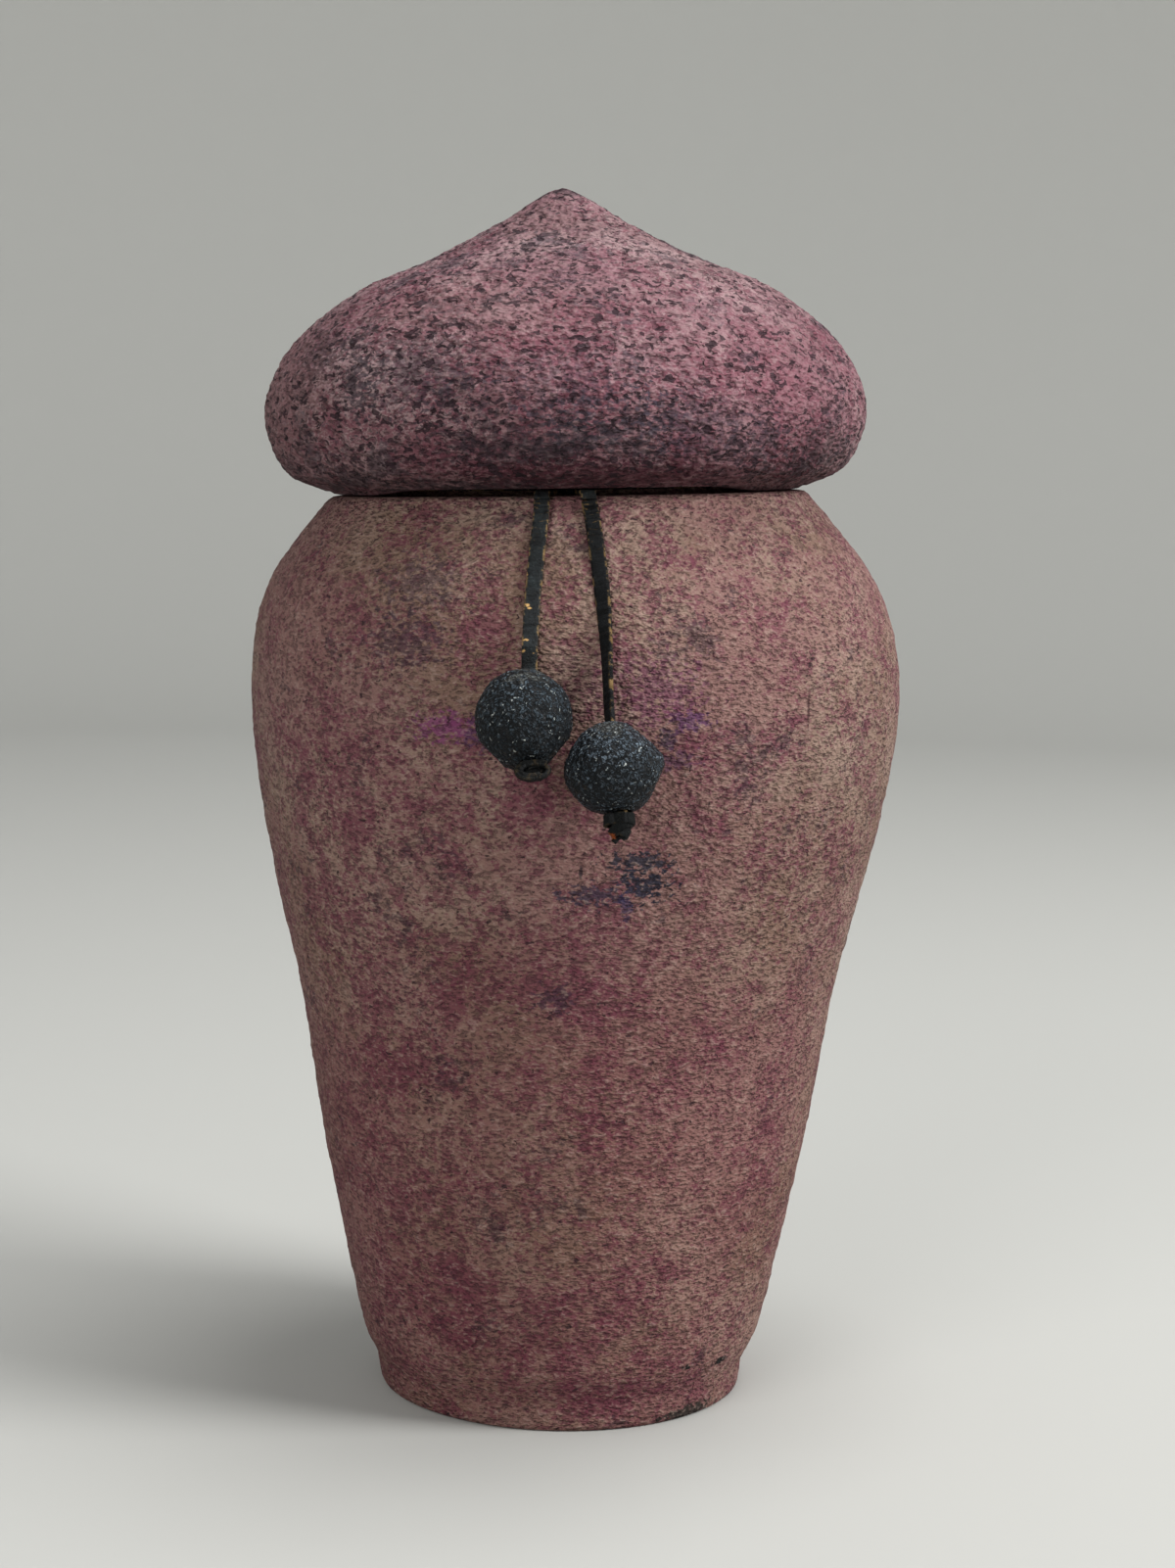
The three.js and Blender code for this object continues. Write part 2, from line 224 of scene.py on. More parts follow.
def covered(tree, colour, mask, share, tint):
    # the tint over the colour where the mask is, as strongly as the share says
    return blendColour(tree, times(tree, mask, share), colour, tint)


def newGroup(name, inputs, outputs):
    tree = bpy.data.node_groups.new(name, "ShaderNodeTree")
    for label, kind, value in inputs:
        socket = tree.interface.new_socket(name=label, in_out="INPUT", socket_type=kind)
        if value is not None:
            socket.default_value = value
    for label in outputs:
        tree.interface.new_socket(name=label, in_out="OUTPUT", socket_type="NodeSocketFloat")
    return tree, tree.nodes.new("NodeGroupInput").outputs, tree.nodes.new("NodeGroupOutput").inputs


def useGroup(tree, group, inputs):
    return addNode(tree, "ShaderNodeGroup", inputs, node_tree=group).outputs


def stretched(tree, vector, flatness):
    # squeezes a pattern in height, so that its marks run level round the pot
    ways = addNode(tree, "ShaderNodeCombineXYZ", {"X": 1.0, "Y": 1.0, "Z": flatness}).outputs[0]
    return vectorCalc(tree, "MULTIPLY", vector, ways)[0]


def noiseAt(tree, vector, scale, detail, roughness, distortion=0.0, seed=0.0):
    inputs = {"Vector": vector, "W": seed, "Scale": scale, "Detail": detail, "Roughness": roughness,
              "Distortion": distortion}
    return addNode(tree, "ShaderNodeTexNoise", inputs, noise_dimensions="4D").outputs[0]


def plainNoise(tree, vector, scale, detail, roughness):
    inputs = {"Vector": vector, "Scale": scale, "Detail": detail, "Roughness": roughness}
    return addNode(tree, "ShaderNodeTexNoise", inputs).outputs[0]


gritGrain = {
    # share of the fineness, then detail, roughness, distortion and seed of each noise
    "broad": (0.4, 2.0, 0.5, 0.2, 1.0),
    "fine": (0.95, 1.0, 0.5, 0.0, 2.0),
    "torn": (0.74, 1.0, 0.5, 0.6, 3.0),
    "broadShare": 0.4,
    "pitEdge": 0.03,
    "gapFrom": (0.46, 0.41),
    "ridgeFrom": (0.55, 0.63),
    "grainHeight": 0.8,
    "pitDepth": 0.5,
    "gapDepth": 0.12,
}


def makeGrittyGrain(grit):
    # gritty clay: small level ridges and gaps, and torn pits between them
    tree, given, out = newGroup(
        "gritty grain",
        [("Vector", "NodeSocketVector", None), ("Fineness", "NodeSocketFloat", 900.0),
         ("Flatness", "NodeSocketFloat", 1.7), ("Pit Share", "NodeSocketFloat", 0.36)],
        ["Height", "Ridges", "Gaps", "Pits"],
    )
    place = stretched(tree, given["Vector"], given["Flatness"])

    def layer(name):
        share, *rest = grit[name]
        return noiseAt(tree, place, times(tree, given["Fineness"], share), *rest)

    grain = plus(tree, times(tree, layer("broad"), grit["broadShare"]),
                 times(tree, layer("fine"), 1 - grit["broadShare"]))
    edge = minus(tree, 1.0, given["Pit Share"])
    pits = fade(tree, layer("torn"), edge, plus(tree, edge, grit["pitEdge"]))
    gaps = fade(tree, grain, *grit["gapFrom"])
    sunk = plus(tree, times(tree, pits, grit["pitDepth"]), times(tree, gaps, grit["gapDepth"]))
    tree.links.new(minus(tree, times(tree, grain, grit["grainHeight"]), sunk), out["Height"])
    tree.links.new(fade(tree, grain, *grit["ridgeFrom"]), out["Ridges"])
    tree.links.new(gaps, out["Gaps"])
    tree.links.new(pits, out["Pits"])
    return tree


patchEdge = {
    # detail, roughness and distortion of the two noises
    "cloud": (4.0, 0.6, 0.4),
    "strokes": (4.0, 0.68, 0.6),
    "flatness": 1.6,
}


def makeTornPatches(patch):
    # patches with torn edges, made of the same level strokes as the grain
    tree, given, out = newGroup(
        "torn patches",
        [("Vector", "NodeSocketVector", None), ("Patch Size", "NodeSocketFloat", 40.0),
         ("Stroke Size", "NodeSocketFloat", 520.0), ("Seed", "NodeSocketFloat", 0.0),
         ("Cover", "NodeSocketFloat", 0.5), ("Tear", "NodeSocketFloat", 0.6),
         ("Softness", "NodeSocketFloat", 0.03), ("Bias", "NodeSocketFloat", 0.0)],
        ["Mask"],
    )
    cloud = noiseAt(tree, given["Vector"], given["Patch Size"], *patch["cloud"], given["Seed"])
    flat = stretched(tree, given["Vector"], patch["flatness"])
    strokes = noiseAt(tree, flat, given["Stroke Size"], *patch["strokes"], given["Seed"])
    strokes = times(tree, minus(tree, strokes, 0.5), given["Tear"])
    level = plus(tree, plus(tree, cloud, given["Bias"]), strokes)
    edge = minus(tree, 1.0, given["Cover"])
    mask = fade(tree, level, minus(tree, edge, given["Softness"]), plus(tree, edge, given["Softness"]))
    tree.links.new(mask, out["Mask"])
    return tree


stainEdge = {
    "noise": (4.0, 0.62, 0.5),  # detail, roughness and distortion
    "flatness": 1.5,
    "throw": 5.0,  # how far the strokes reach over the edge
    "from": (0.98, 0.62),
}


def makeStain(edge):
    # one stain round a place on the surface, broken into strokes
    tree, given, out = newGroup(
        "stain",
        [("Vector", "NodeSocketVector", None), ("Place", "NodeSocketVector", None),
         ("Reach", "NodeSocketVector", (0.01, 0.01, 0.01)), ("Ragged", "NodeSocketFloat", 0.6),
         ("Tear", "NodeSocketFloat", 620.0)],
        ["Mask"],
    )
    offset = vectorCalc(tree, "SUBTRACT", given["Vector"], given["Place"])[0]
    share = vectorCalc(tree, "DIVIDE", offset, given["Reach"])[0]
    far = vectorCalc(tree, "LENGTH", share)["Value"]
    torn = noiseAt(tree, stretched(tree, given["Vector"], edge["flatness"]), given["Tear"], *edge["noise"])
    torn = times(tree, times(tree, minus(tree, torn, 0.5), edge["throw"]), given["Ragged"])
    tree.links.new(fade(tree, plus(tree, far, torn), *edge["from"]), out["Mask"])
    return tree


grittyGrain = makeGrittyGrain(gritGrain)
tornPatches = makeTornPatches(patchEdge)
stain = makeStain(stainEdge)


def stainMask(tree, place, spot, reach, ragged, **more):
    # where a stain lies; its place and reach are in mm
    inputs = {"Vector": place, "Place": Vector(spot) * mm, "Reach": Vector(reach) * mm, "Ragged": ragged}
    return useGroup(tree, stain, {**inputs, **more})["Mask"]


def startMaterial(name):
    material = bpy.data.materials.new(name)
    material.use_nodes = True
    tree = material.node_tree
    tree.nodes.clear()
    place = addNode(tree, "ShaderNodeTexCoord").outputs["Object"]
    return material, tree, place


def endMaterial(tree, colour, roughness, bump, specular):
    shader = addNode(
        tree, "ShaderNodeBsdfPrincipled",
        {"Base Color": colour, "Roughness": roughness, "Normal": bump, "Specular IOR Level": specular},
    )
    addNode(tree, "ShaderNodeOutputMaterial", {"Surface": shader.outputs[0]})


def reliefOf(tree, height, depth):
    inputs = {"Height": height, "Distance": depth, "Strength": 1.0}
    return addNode(tree, "ShaderNodeBump", inputs).outputs[0]


jarClay = {
    "ground": swatch(112, 88, 76),
    "groundPale": swatch(134, 112, 100),
    "rose": swatch(118, 83, 82),
    "roseCover": 0.5,
    "wine": swatch(95, 44, 60),
    "wineCover": 0.447,
    "wineSize": 105.0,
    "dashes": swatch(94, 46, 60),
    "dark": swatch(52, 38, 45),
    "darkCover": 0.345,
    # painted highlight on the ridges of the grit
    "ridgeHighlight": swatch(158, 134, 124),
    # painted shade in the gaps and pits of the grit
    "gap": swatch(50, 31, 36),
    "fineness": 860.0,
    "pitShare": 0.3,
    "lowTint": (0.94, 0.82, 0.84, 1),  # darker and redder towards the foot
    "lowFrom": (0.15, 0.05),
    "ridgeHighlightShare": 0.34,
    "gapShadeShare": 0.36,
    "reliefDepth": 0.0026,
    "darkBelow": None,
    "stains": [
        # place in mm, reach in mm, colour, strength, raggedness
        ((14.1, -66.3, 127.4), (6.2, 9, 2.3), swatch(34, 36, 48), 0.9, 1.2),
        ((14.9, -65.6, 122.6), (6.0, 9, 3.4), swatch(30, 32, 46), 0.95, 1.2),
        ((6.0, -66.3, 120.8), (8, 8, 2.2), swatch(48, 42, 58), 0.8, 1.3),
        ((11.0, -66.0, 118.4), (1.5, 6, 3.4), swatch(52, 42, 70), 0.75, 0.9),
        ((2.0, -68.0, 125.4), (0.5, 3, 1.8), swatch(44, 34, 38), 0.9, 0.3),
        ((47.8, -52.5, 157.4), (0.35, 3, 6), swatch(66, 40, 40), 0.75, 0.2),
        ((-34.5, -61.4, 170.8), (9, 8, 5), swatch(62, 42, 52), 0.7, 1.3),
        ((-31.7, -58.7, 182.1), (8.5, 9, 5), swatch(70, 54, 60), 0.6, 1.4),
        ((-24.6, -67.3, 154.2), (7.5, 8, 3), swatch(108, 46, 92), 0.7, 1.0),
        ((-17.5, -69, 153.0), (4.5, 8, 4), swatch(58, 42, 66), 0.6, 1.0),
        ((16.0, -68.7, 162.0), (8.5, 8, 6.5), swatch(100, 50, 82), 0.5, 1.7),
        ((18.6, -70.0, 153.0), (1.8, 6, 3.4), swatch(44, 38, 54), 0.75, 1.1),
        ((23.4, -68.0, 156.4), (3.8, 6, 2.0), swatch(72, 44, 80), 0.65, 1.2),
        ((21.0, -69.0, 148.4), (5.0, 6, 2.0), swatch(66, 38, 64), 0.65, 1.3),
        ((5.5, -70, 164.0), (12, 8, 9), swatch(80, 40, 52), 0.45, 1.7),
        ((-3.0, -61.4, 98.5), (4.0, 6, 3), swatch(58, 38, 54), 0.7, 1.2),
        ((-22.0, -50.0, 20.0), (20, 12, 3.4), swatch(86, 38, 52), 0.5, 1.2),
        ((12.0, -46.0, 9.0), (26, 12, 4.2), swatch(92, 40, 58), 0.55, 1.2),
        ((34.9, -26.5, 12.0), (2.0, 4, 1.1), swatch(16, 15, 15), 1.0, 0.5),
        ((26.6, -34.4, 13.4), (1.3, 3, 0.8), swatch(20, 18, 18), 1.0, 0.5),
        ((27.5, -29.5, 1.2), (9, 9, 2.0), swatch(30, 34, 28), 0.9, 0.8),
    ],
    "wineZones": [
        # places where the wine colour gathers, mm, and how far
        ((-51.7, -48.2, 142.3), 20), ((-34, -60, 128), 16), ((-24, -62, 104), 17), ((-46, -44, 112), 15),
        ((-38, -46, 86), 17), ((6, -62, 108), 15), ((-30, -44, 52), 20), ((13.3, -46.4, 30.7), 18),
        ((-6, -47, 26), 16), ((-27, -40, 28), 18), ((30, -54, 88), 11), ((8, -58, 76), 12),
        ((24, -64, 146), 12), ((-10, -68, 140), 14), ((16, -46, 14), 17),
        ((10, 60, 140), 24), ((-40, 40, 70), 24), ((52, 30, 110), 22), ((20, 42, 30), 22),
    ],
}

lidClay = {
    "ground": swatch(117, 89, 91),
    "groundPale": swatch(148, 123, 124),
    "rose": swatch(120, 83, 91),
    "roseCover": 0.47,
    "wine": swatch(102, 50, 64),
    "wineCover": 0.46,
    "wineSize": 40.0,
    "dashes": swatch(84, 50, 60),
    "dark": swatch(46, 43, 52),
    "darkCover": 0.385,
    # painted highlight on the ridges of the grit
    "ridgeHighlight": swatch(166, 144, 146),
    # painted shade in the gaps and pits of the grit
    "gap": swatch(40, 26, 33),
    "fineness": 620.0,
    "pitShare": 0.395,
    # painted shade: the lid is painted much darker below its widest part, where it turns under
    "lowTint": (0.5, 0.4, 0.42, 1),
    "lowFrom": (0.217, 0.2),
    "ridgeHighlightShare": 0.12,
    "gapShadeShare": 0.42,
    "reliefDepth": 0.0034,
    "darkBelow": (0.230, 0.204, 0.065),  # from this height to this one the charcoal covers more
    "stains": [
        ((-13.9, -63.2, 209.5), (15, 12, 7), swatch(42, 36, 42), 0.6, 1.8),
        ((-33.9, -56.0, 225.0), (12, 12, 7), swatch(52, 46, 56), 0.5, 1.8),
        ((9.4, -63.9, 213.0), (9, 10, 7), swatch(46, 42, 50), 0.55, 1.8),
        ((24.1, -59.9, 214.5), (11, 10, 7), swatch(50, 44, 56), 0.5, 1.8),
        ((-2.0, -60.0, 222.0), (11, 10, 6), swatch(58, 52, 64), 0.4, 1.8),
        ((31.0, -46.0, 237.8), (20, 16, 11), swatch(128, 90, 98), 0.4, 1.3),
        ((43.5, -45.0, 220.3), (15, 16, 12), swatch(120, 76, 86), 0.45, 1.3),
        ((-2.0, -34.0, 243.8), (18, 16, 10), swatch(128, 88, 98), 0.4, 1.3),
        ((52.3, -34.6, 208.7), (14, 14, 7), swatch(48, 42, 44), 0.6, 1.5),
        ((8.0, -60.0, 204.5), (36, 14, 3.6), swatch(84, 36, 50), 0.7, 1.0),
        ((-54.0, -34.0, 228.0), (8, 14, 7), swatch(46, 40, 48), 0.7, 1.2),
        ((-3.9, 0.8, 266.0), (7, 7, 5), swatch(74, 58, 62), 0.7, 0.8),
        ((-62.0, -22.0, 220.0), (18, 30, 22), swatch(104, 74, 74), 0.5, 0.9),
        ((-45.0, -46.0, 222.5), (3.5, 14, 9), swatch(44, 38, 46), 0.7, 1.3),
        ((38.0, -54.0, 211.5), (6, 10, 5), swatch(44, 40, 50), 0.6, 1.6),
        ((-20.0, -46.0, 238.0), (26, 20, 8), swatch(128, 98, 98), 0.35, 1.2),
    ],
    "wineZones": [
        ((-20, -58, 218), 14), ((18, -58, 222), 14), ((44, -44, 216), 15), ((-48, -40, 214), 12),
        ((0, 50, 222), 20), ((-50, 20, 216), 18), ((40, 40, 214), 18),
    ],
}


clayLayers = {
    # how each layer of colour is torn
    "pale": {"Seed": 3.1, "Cover": 0.5, "Patch Size": 30.0, "Tear": 0.35, "Softness": 0.12},
    "rose": {"Seed": 7.7, "Patch Size": 19.0, "Tear": 0.5, "Softness": 0.1},
    "dashes": {"Seed": 5.3, "Cover": 0.445, "Patch Size": 300.0, "Tear": 0.9, "Stroke Size": 950.0},
    "wine": {"Seed": 1.3, "Tear": 0.95, "Stroke Size": 800.0},
    "dark": {"Seed": 11.9, "Patch Size": 85.0, "Tear": 0.8},
    "shares": {"rose": 0.7, "dashes": 0.65, "wine": 0.65, "dark": 0.62},  # how strongly it covers
    "gather": 0.065,  # wine covers the clay this much more where it gathers
    "spare": 0.03,  # and this much less elsewhere
    "gatherFrom": (1.3, 0.15),  # shares of a zone's reach
    "pitShade": 0.85,
    "roughness": (0.3, 0.5, 0.97, 0.84),  # between two heights of the grain, from and to
    "gloss": 0.25,
}


def makeClay(name, clay, layers):
    material, tree, place = startMaterial(name)
    grain = useGroup(tree, grittyGrain, {
        "Vector": place, "Fineness": clay["fineness"], "Pit Share": clay["pitShare"],
    })
    height = heightOf(tree, place)

    # where wine gathers, as a bias on its patches
    gathered = 0.0
    outer, inner = layers["gatherFrom"]
    for spot, reach in clay["wineZones"]:
        near = vectorCalc(tree, "DISTANCE", place, Vector(spot) * mm)["Value"]
        near = fade(tree, near, reach * mm * outer, reach * mm * inner)
        gathered = calc(tree, "MAXIMUM", near, gathered)
    bias = minus(tree, times(tree, gathered, layers["gather"]), layers["spare"])
    darker = 0.0
    if clay["darkBelow"]:
        high, low, most = clay["darkBelow"]
        darker = fade(tree, height, high, low, 0.0, most)

    def patches(layer, more):
        return useGroup(tree, tornPatches, {"Vector": place, **layers[layer], **more})["Mask"]

    colour = blendColour(tree, patches("pale", {}), clay["ground"], clay["groundPale"])
    for layer, more in [
        ("rose", {"Cover": clay["roseCover"]}),
        ("dashes", {"Bias": bias}),
        ("wine", {"Cover": clay["wineCover"], "Patch Size": clay["wineSize"], "Bias": bias}),
        ("dark", {"Cover": clay["darkCover"], "Bias": darker}),
    ]:
        colour = covered(tree, colour, patches(layer, more), layers["shares"][layer], clay[layer])
    for spot, reach, tint, strength, ragged in clay["stains"]:
        colour = covered(tree, colour, stainMask(tree, place, spot, reach, ragged), strength, tint)
    # darker towards the bottom: redder at the jar's foot, and painted shade under the lid's bulge
    colour = blendColour(tree, fade(tree, height, *clay["lowFrom"]), colour, clay["lowTint"], "MULTIPLY")

    # painted light: the grit's ridges are painted paler as a highlight, and its gaps and pits are painted
    # dark as shade
    colour = covered(tree, colour, grain["Ridges"], clay["ridgeHighlightShare"], clay["ridgeHighlight"])
    colour = covered(tree, colour, grain["Gaps"], clay["gapShadeShare"], clay["gap"])
    colour = covered(tree, colour, grain["Pits"], layers["pitShade"], clay["gap"])

    rough = fade(tree, grain["Height"], *layers["roughness"])
    relief = reliefOf(tree, grain["Height"], clay["reliefDepth"])
    endMaterial(tree, colour, rough, relief, layers["gloss"])
    return material


laceLeather = {
    "top": swatch(33, 38, 40),
    "black": swatch(9, 10, 11),
    # pale dust, also painted sheen standing in for the lace's highlights
    "dustAndSheen": swatch(74, 82, 83),
    "tan": swatch(132, 106, 68),
    "nicks": [
        # worn through to the tan, mm
        ((-9.6, -68.2, 179.0), (0.55, 1.2, 0.45), swatch(190, 152, 96)),
        ((-9.1, -68.4, 178.4), (0.5, 1.2, 0.25), swatch(190, 152, 96)),
        ((-9.7, -71.0, 172.3), (0.7, 1.2, 0.22), swatch(180, 142, 90)),
        ((-10.1, -72.2, 170.2), (0.4, 1.2, 0.5), swatch(180, 142, 90)),
        ((-8.0, -72.2, 169.8), (0.35, 1.2, 0.25), swatch(180, 142, 90)),
        ((-9.9, -65.0, 185.0), (0.25, 1.2, 0.6), swatch(150, 118, 76)),
        ((6.9, -65.0, 186.4), (0.25, 1.2, 0.8), swatch(150, 118, 76)),
        ((7.4, -87.5, 135.8), (1.6, 2.6, 0.7), swatch(126, 62, 26)),
    ],
    "nickEdge": (0.5, 1500.0),  # raggedness and tear
    # scale, detail and roughness of each noise
    "mottle": (520.0, 6.0, 0.7),
    "fine": (2600.0, 3.0, 0.6),
    "cracks": (1.0, 3.0, 0.7),
    "cracksAlong": 1500.0,  # they run across the lace, so they change faster along it
    "cracksAcross": 0.7,
    "crackTop": (0.014, 0.006),  # m down the lace, where the tan stops showing in them
    "crackFrom": (0.58, 0.7),
    "crackShare": 0.7,
    "crackHeight": 0.8,
    "blotchFrom": (0.35, 0.65),
    "dustAndSheenFrom": (0.55, 0.75),  # of the fine noise
    "dustAndSheenOn": (0.42, 0.62),  # and of the mottle under it
    "dustAndSheenShare": 0.5,
    "edgeWear": (0.72, 0.94),  # shares of the half width
    "edgeOn": (0.5, 0.58),
    "worn": 0.9,
    "roughness": (0.3, 0.7, 0.52, 0.78),  # between two levels of the mottle, from and to
    "gloss": 0.22,
    "relief": 0.0003,
}


def makeLeather(name, leather):
    material, tree, place = startMaterial(name)
    across = addNode(tree, "ShaderNodeAttribute", attribute_name="acrossLace").outputs["Fac"]
    along = addNode(tree, "ShaderNodeAttribute", attribute_name="alongLace").outputs["Fac"]
    mottle = plainNoise(tree, place, *leather["mottle"])
    fine = plainNoise(tree, place, *leather["fine"])
    ribs = addNode(tree, "ShaderNodeCombineXYZ", {
        "X": times(tree, along, leather["cracksAlong"]), "Y": times(tree, across, leather["cracksAcross"]),
    }).outputs[0]
    cracks = plainNoise(tree, ribs, *leather["cracks"])

    blotches = fade(tree, mottle, *leather["blotchFrom"])
    colour = blendColour(tree, blotches, leather["black"], leather["top"])
    # pale dust and painted sheen in spots where the fine noise and the mottle meet
    dustAndSheen = times(tree, fade(tree, fine, *leather["dustAndSheenFrom"]), fade(tree, mottle, *leather["dustAndSheenOn"]))
    colour = covered(tree, colour, dustAndSheen, leather["dustAndSheenShare"], leather["dustAndSheen"])
    edge = fade(tree, calc(tree, "ABSOLUTE", across), *leather["edgeWear"])
    edge = times(tree, edge, fade(tree, mottle, *leather["edgeOn"]))
    nearTop = fade(tree, along, *leather["crackTop"])
    crackTan = times(tree, fade(tree, cracks, *leather["crackFrom"]), nearTop)
    crackTan = times(tree, crackTan, leather["crackShare"])
    showing = calc(tree, "MAXIMUM", times(tree, edge, leather["worn"]), crackTan)
    colour = blendColour(tree, showing, colour, leather["tan"])
    ragged, tear = leather["nickEdge"]
    for spot, reach, tint in leather["nicks"]:
        nick = stainMask(tree, place, spot, reach, ragged, Tear=tear)
        colour = blendColour(tree, nick, colour, tint)

    height = plus(tree, plus(tree, times(tree, cracks, leather["crackHeight"]), fine), mottle)
    rough = fade(tree, mottle, *leather["roughness"])
    endMaterial(tree, colour, rough, reliefOf(tree, height, leather["relief"]), leather["gloss"])
    return material


beadClay = {
    "ground": swatch(24, 29, 33),
    # pale dust on the grain crowns, and painted light on the tops of the beads
    "dustAndLitTop": swatch(82, 95, 105),
    # pale specks, also painted glints
    "speckAndGlint": swatch(196, 200, 194),
    # painted shade in the hollows between the grains
    "shadeInHollows": swatch(6, 7, 9),
    "rust": swatch(52, 42, 30),
    "worn": swatch(98, 98, 92),
    "grains": 1350.0,
    "jumble": (900.0, 0.0007),  # how finely and how far, in m, the grains are pushed about
    "broad": (420.0, 4.0, 0.65),
    "crown": (0.62, 0.08),  # from the edge of a grain to its middle
    "crownHeight": 0.5,
    "kindHeight": 0.35,  # how much grains differ in height
    "topLightUp": (-0.3, 0.9, 0.15, 1.0),  # painted light: tops that look up are paler, as if lit from above; by how far the surface looks up, from and to
    "dustAndLightBroad": (0.36, 0.6, 0.5),
    "dustKind": (0.35, 0.95, 0.0, 0.3),
    "rustDown": (0.1, -0.6, 0.0, 0.7),
    "wornRagged": 1.0,
    "wornShare": 0.6,
    "shadeInHollowsFrom": (0.38, 0.6),
    "shadeInHollowsShare": 0.85,
    "speckAndGlintFrom": (0.32, 0.14),
    "speckAndGlintKinds": (0.83, 0.93),
    "speckAndGlintShare": 0.8,
    "roughness": (0.0, 1.0, 0.34, 0.75),
    "relief": 0.0009,
    "gloss": 0.15,
    "rustPatches": {"Patch Size": 140.0, "Seed": 5.2, "Cover": 0.42},
    "wornPlaces": [
        # rubbed pale, mm
        ((6.5, -84.5, 156.6), (4.0, 6, 2.0)), ((-9.5, -83.0, 166.0), (5.0, 5, 1.2)),
    ],
}


def makeBeadClay(name, clay):
    material, tree, place = startMaterial(name)
    finely, far = clay["jumble"]
    shift = addNode(
        tree, "ShaderNodeTexNoise", {"Vector": place, "Scale": finely, "Detail": 2.0}, normalize=False,
    ).outputs["Color"]
    jumbled = vectorCalc(tree, "ADD", place, vectorCalc(tree, "MULTIPLY", shift, (far, far, far))[0])[0]
    grains = addNode(tree, "ShaderNodeTexVoronoi", {"Vector": jumbled, "Scale": clay["grains"]}).outputs
    kind = addNode(tree, "ShaderNodeSeparateColor", {"Color": grains["Color"]}).outputs
    crown = fade(tree, grains["Distance"], *clay["crown"])
    broad = noiseAt(tree, place, *clay["broad"])
    height = plus(tree, times(tree, crown, clay["crownHeight"]), times(tree, kind[0], clay["kindHeight"]))
    height = plus(tree, height, broad)

    # painted light: what looks up is painted paler, as if lit from above, with pale dust on some grains;
    # rust under what looks down
    upwards = heightOf(tree, addNode(tree, "ShaderNodeNewGeometry").outputs["Normal"])
    dustAndTopLight = times(tree, fade(tree, upwards, *clay["topLightUp"]), fade(tree, broad, *clay["dustAndLightBroad"]))
    dustAndTopLight = plus(tree, dustAndTopLight, fade(tree, kind[0], *clay["dustKind"]))
    colour = covered(tree, clay["ground"], dustAndTopLight, crown, clay["dustAndLitTop"])
    for spot, reach in clay["wornPlaces"]:
        rubbed = stainMask(tree, place, spot, reach, clay["wornRagged"])
        colour = covered(tree, colour, rubbed, clay["wornShare"], clay["worn"])
    rust = useGroup(tree, tornPatches, {"Vector": place, **clay["rustPatches"]})["Mask"]
    colour = covered(tree, colour, rust, fade(tree, upwards, *clay["rustDown"]), clay["rust"])
    # painted shade: the hollows between the grains are painted near black
    shadedHollows = fade(tree, grains["Distance"], *clay["shadeInHollowsFrom"])
    colour = covered(tree, colour, shadedHollows, clay["shadeInHollowsShare"], clay["shadeInHollows"])
    # pale specks on some grains, also standing in for glints as painted highlights
    specksAndGlints = fade(tree, grains["Distance"], *clay["speckAndGlintFrom"])
    specksAndGlints = times(tree, specksAndGlints, fade(tree, kind[1], *clay["speckAndGlintKinds"]))
    colour = covered(tree, colour, specksAndGlints, clay["speckAndGlintShare"], clay["speckAndGlint"])

    rough = fade(tree, kind[2], *clay["roughness"])
    endMaterial(tree, colour, rough, reliefOf(tree, height, clay["relief"]), clay["gloss"])
    return material


clayOfJar = makeClay("sandy jar clay", jarClay, clayLayers)
clayOfLid = makeClay("pitted lid clay", lidClay, clayLayers)
clayOfLeftBead = makeBeadClay("black bead clay", beadClay)
# painted light: the right bead's copy is paler, as if more lit, and also bluer
clayOfRightBead = makeBeadClay("bluer lit bead clay", {
    **beadClay, "ground": swatch(29, 34, 39), "dustAndLitTop": swatch(112, 126, 138),
})
leatherOfLace = makeLeather("worn lace leather", laceLeather)
leatherOfKnots = makeLeather("knotted lace leather", {
    **laceLeather, "top": swatch(17, 19, 19), "dustAndSheen": swatch(54, 58, 54), "worn": 0.1, "gloss": 0.12,
})
# painted shade: a darker copy of the lace leather for the right tail
leatherInShade = makeLeather("shaded lace leather", {
    **laceLeather, "top": swatch(19, 21, 23), "dustAndSheen": swatch(44, 48, 48), "worn": 0.7, "gloss": 0.14,
})
print("materials ready")


lace = {
    # mm
    "width": 3.2,
    "thickness": 1.0,
    "step": 0.4,
    "wrinkle": 0.06,
    "pinchedWrinkle": 0.16,  # where it is knotted
    "pressed": 0.9,  # share of the thickness in a knot
    "knotBegin": 0.06,  # m down the lace, past its worn top
    "folds": [(900, 1), (2100, 0.6)],  # fineness and share of the wrinkles
    "slot": "lace_leather",
    # the section with its softened corners, in shares of half the width and thickness
    "section": [(-1, -0.5), (-0.9, -0.9), (-0.6, -1), (0, -1), (0.6, -1), (0.9, -0.9), (1, -0.5),
                (1, 0.5), (0.9, 0.9), (0.6, 1), (0, 1), (-0.6, 1), (-0.9, 0.9), (-1, 0.5)],
}


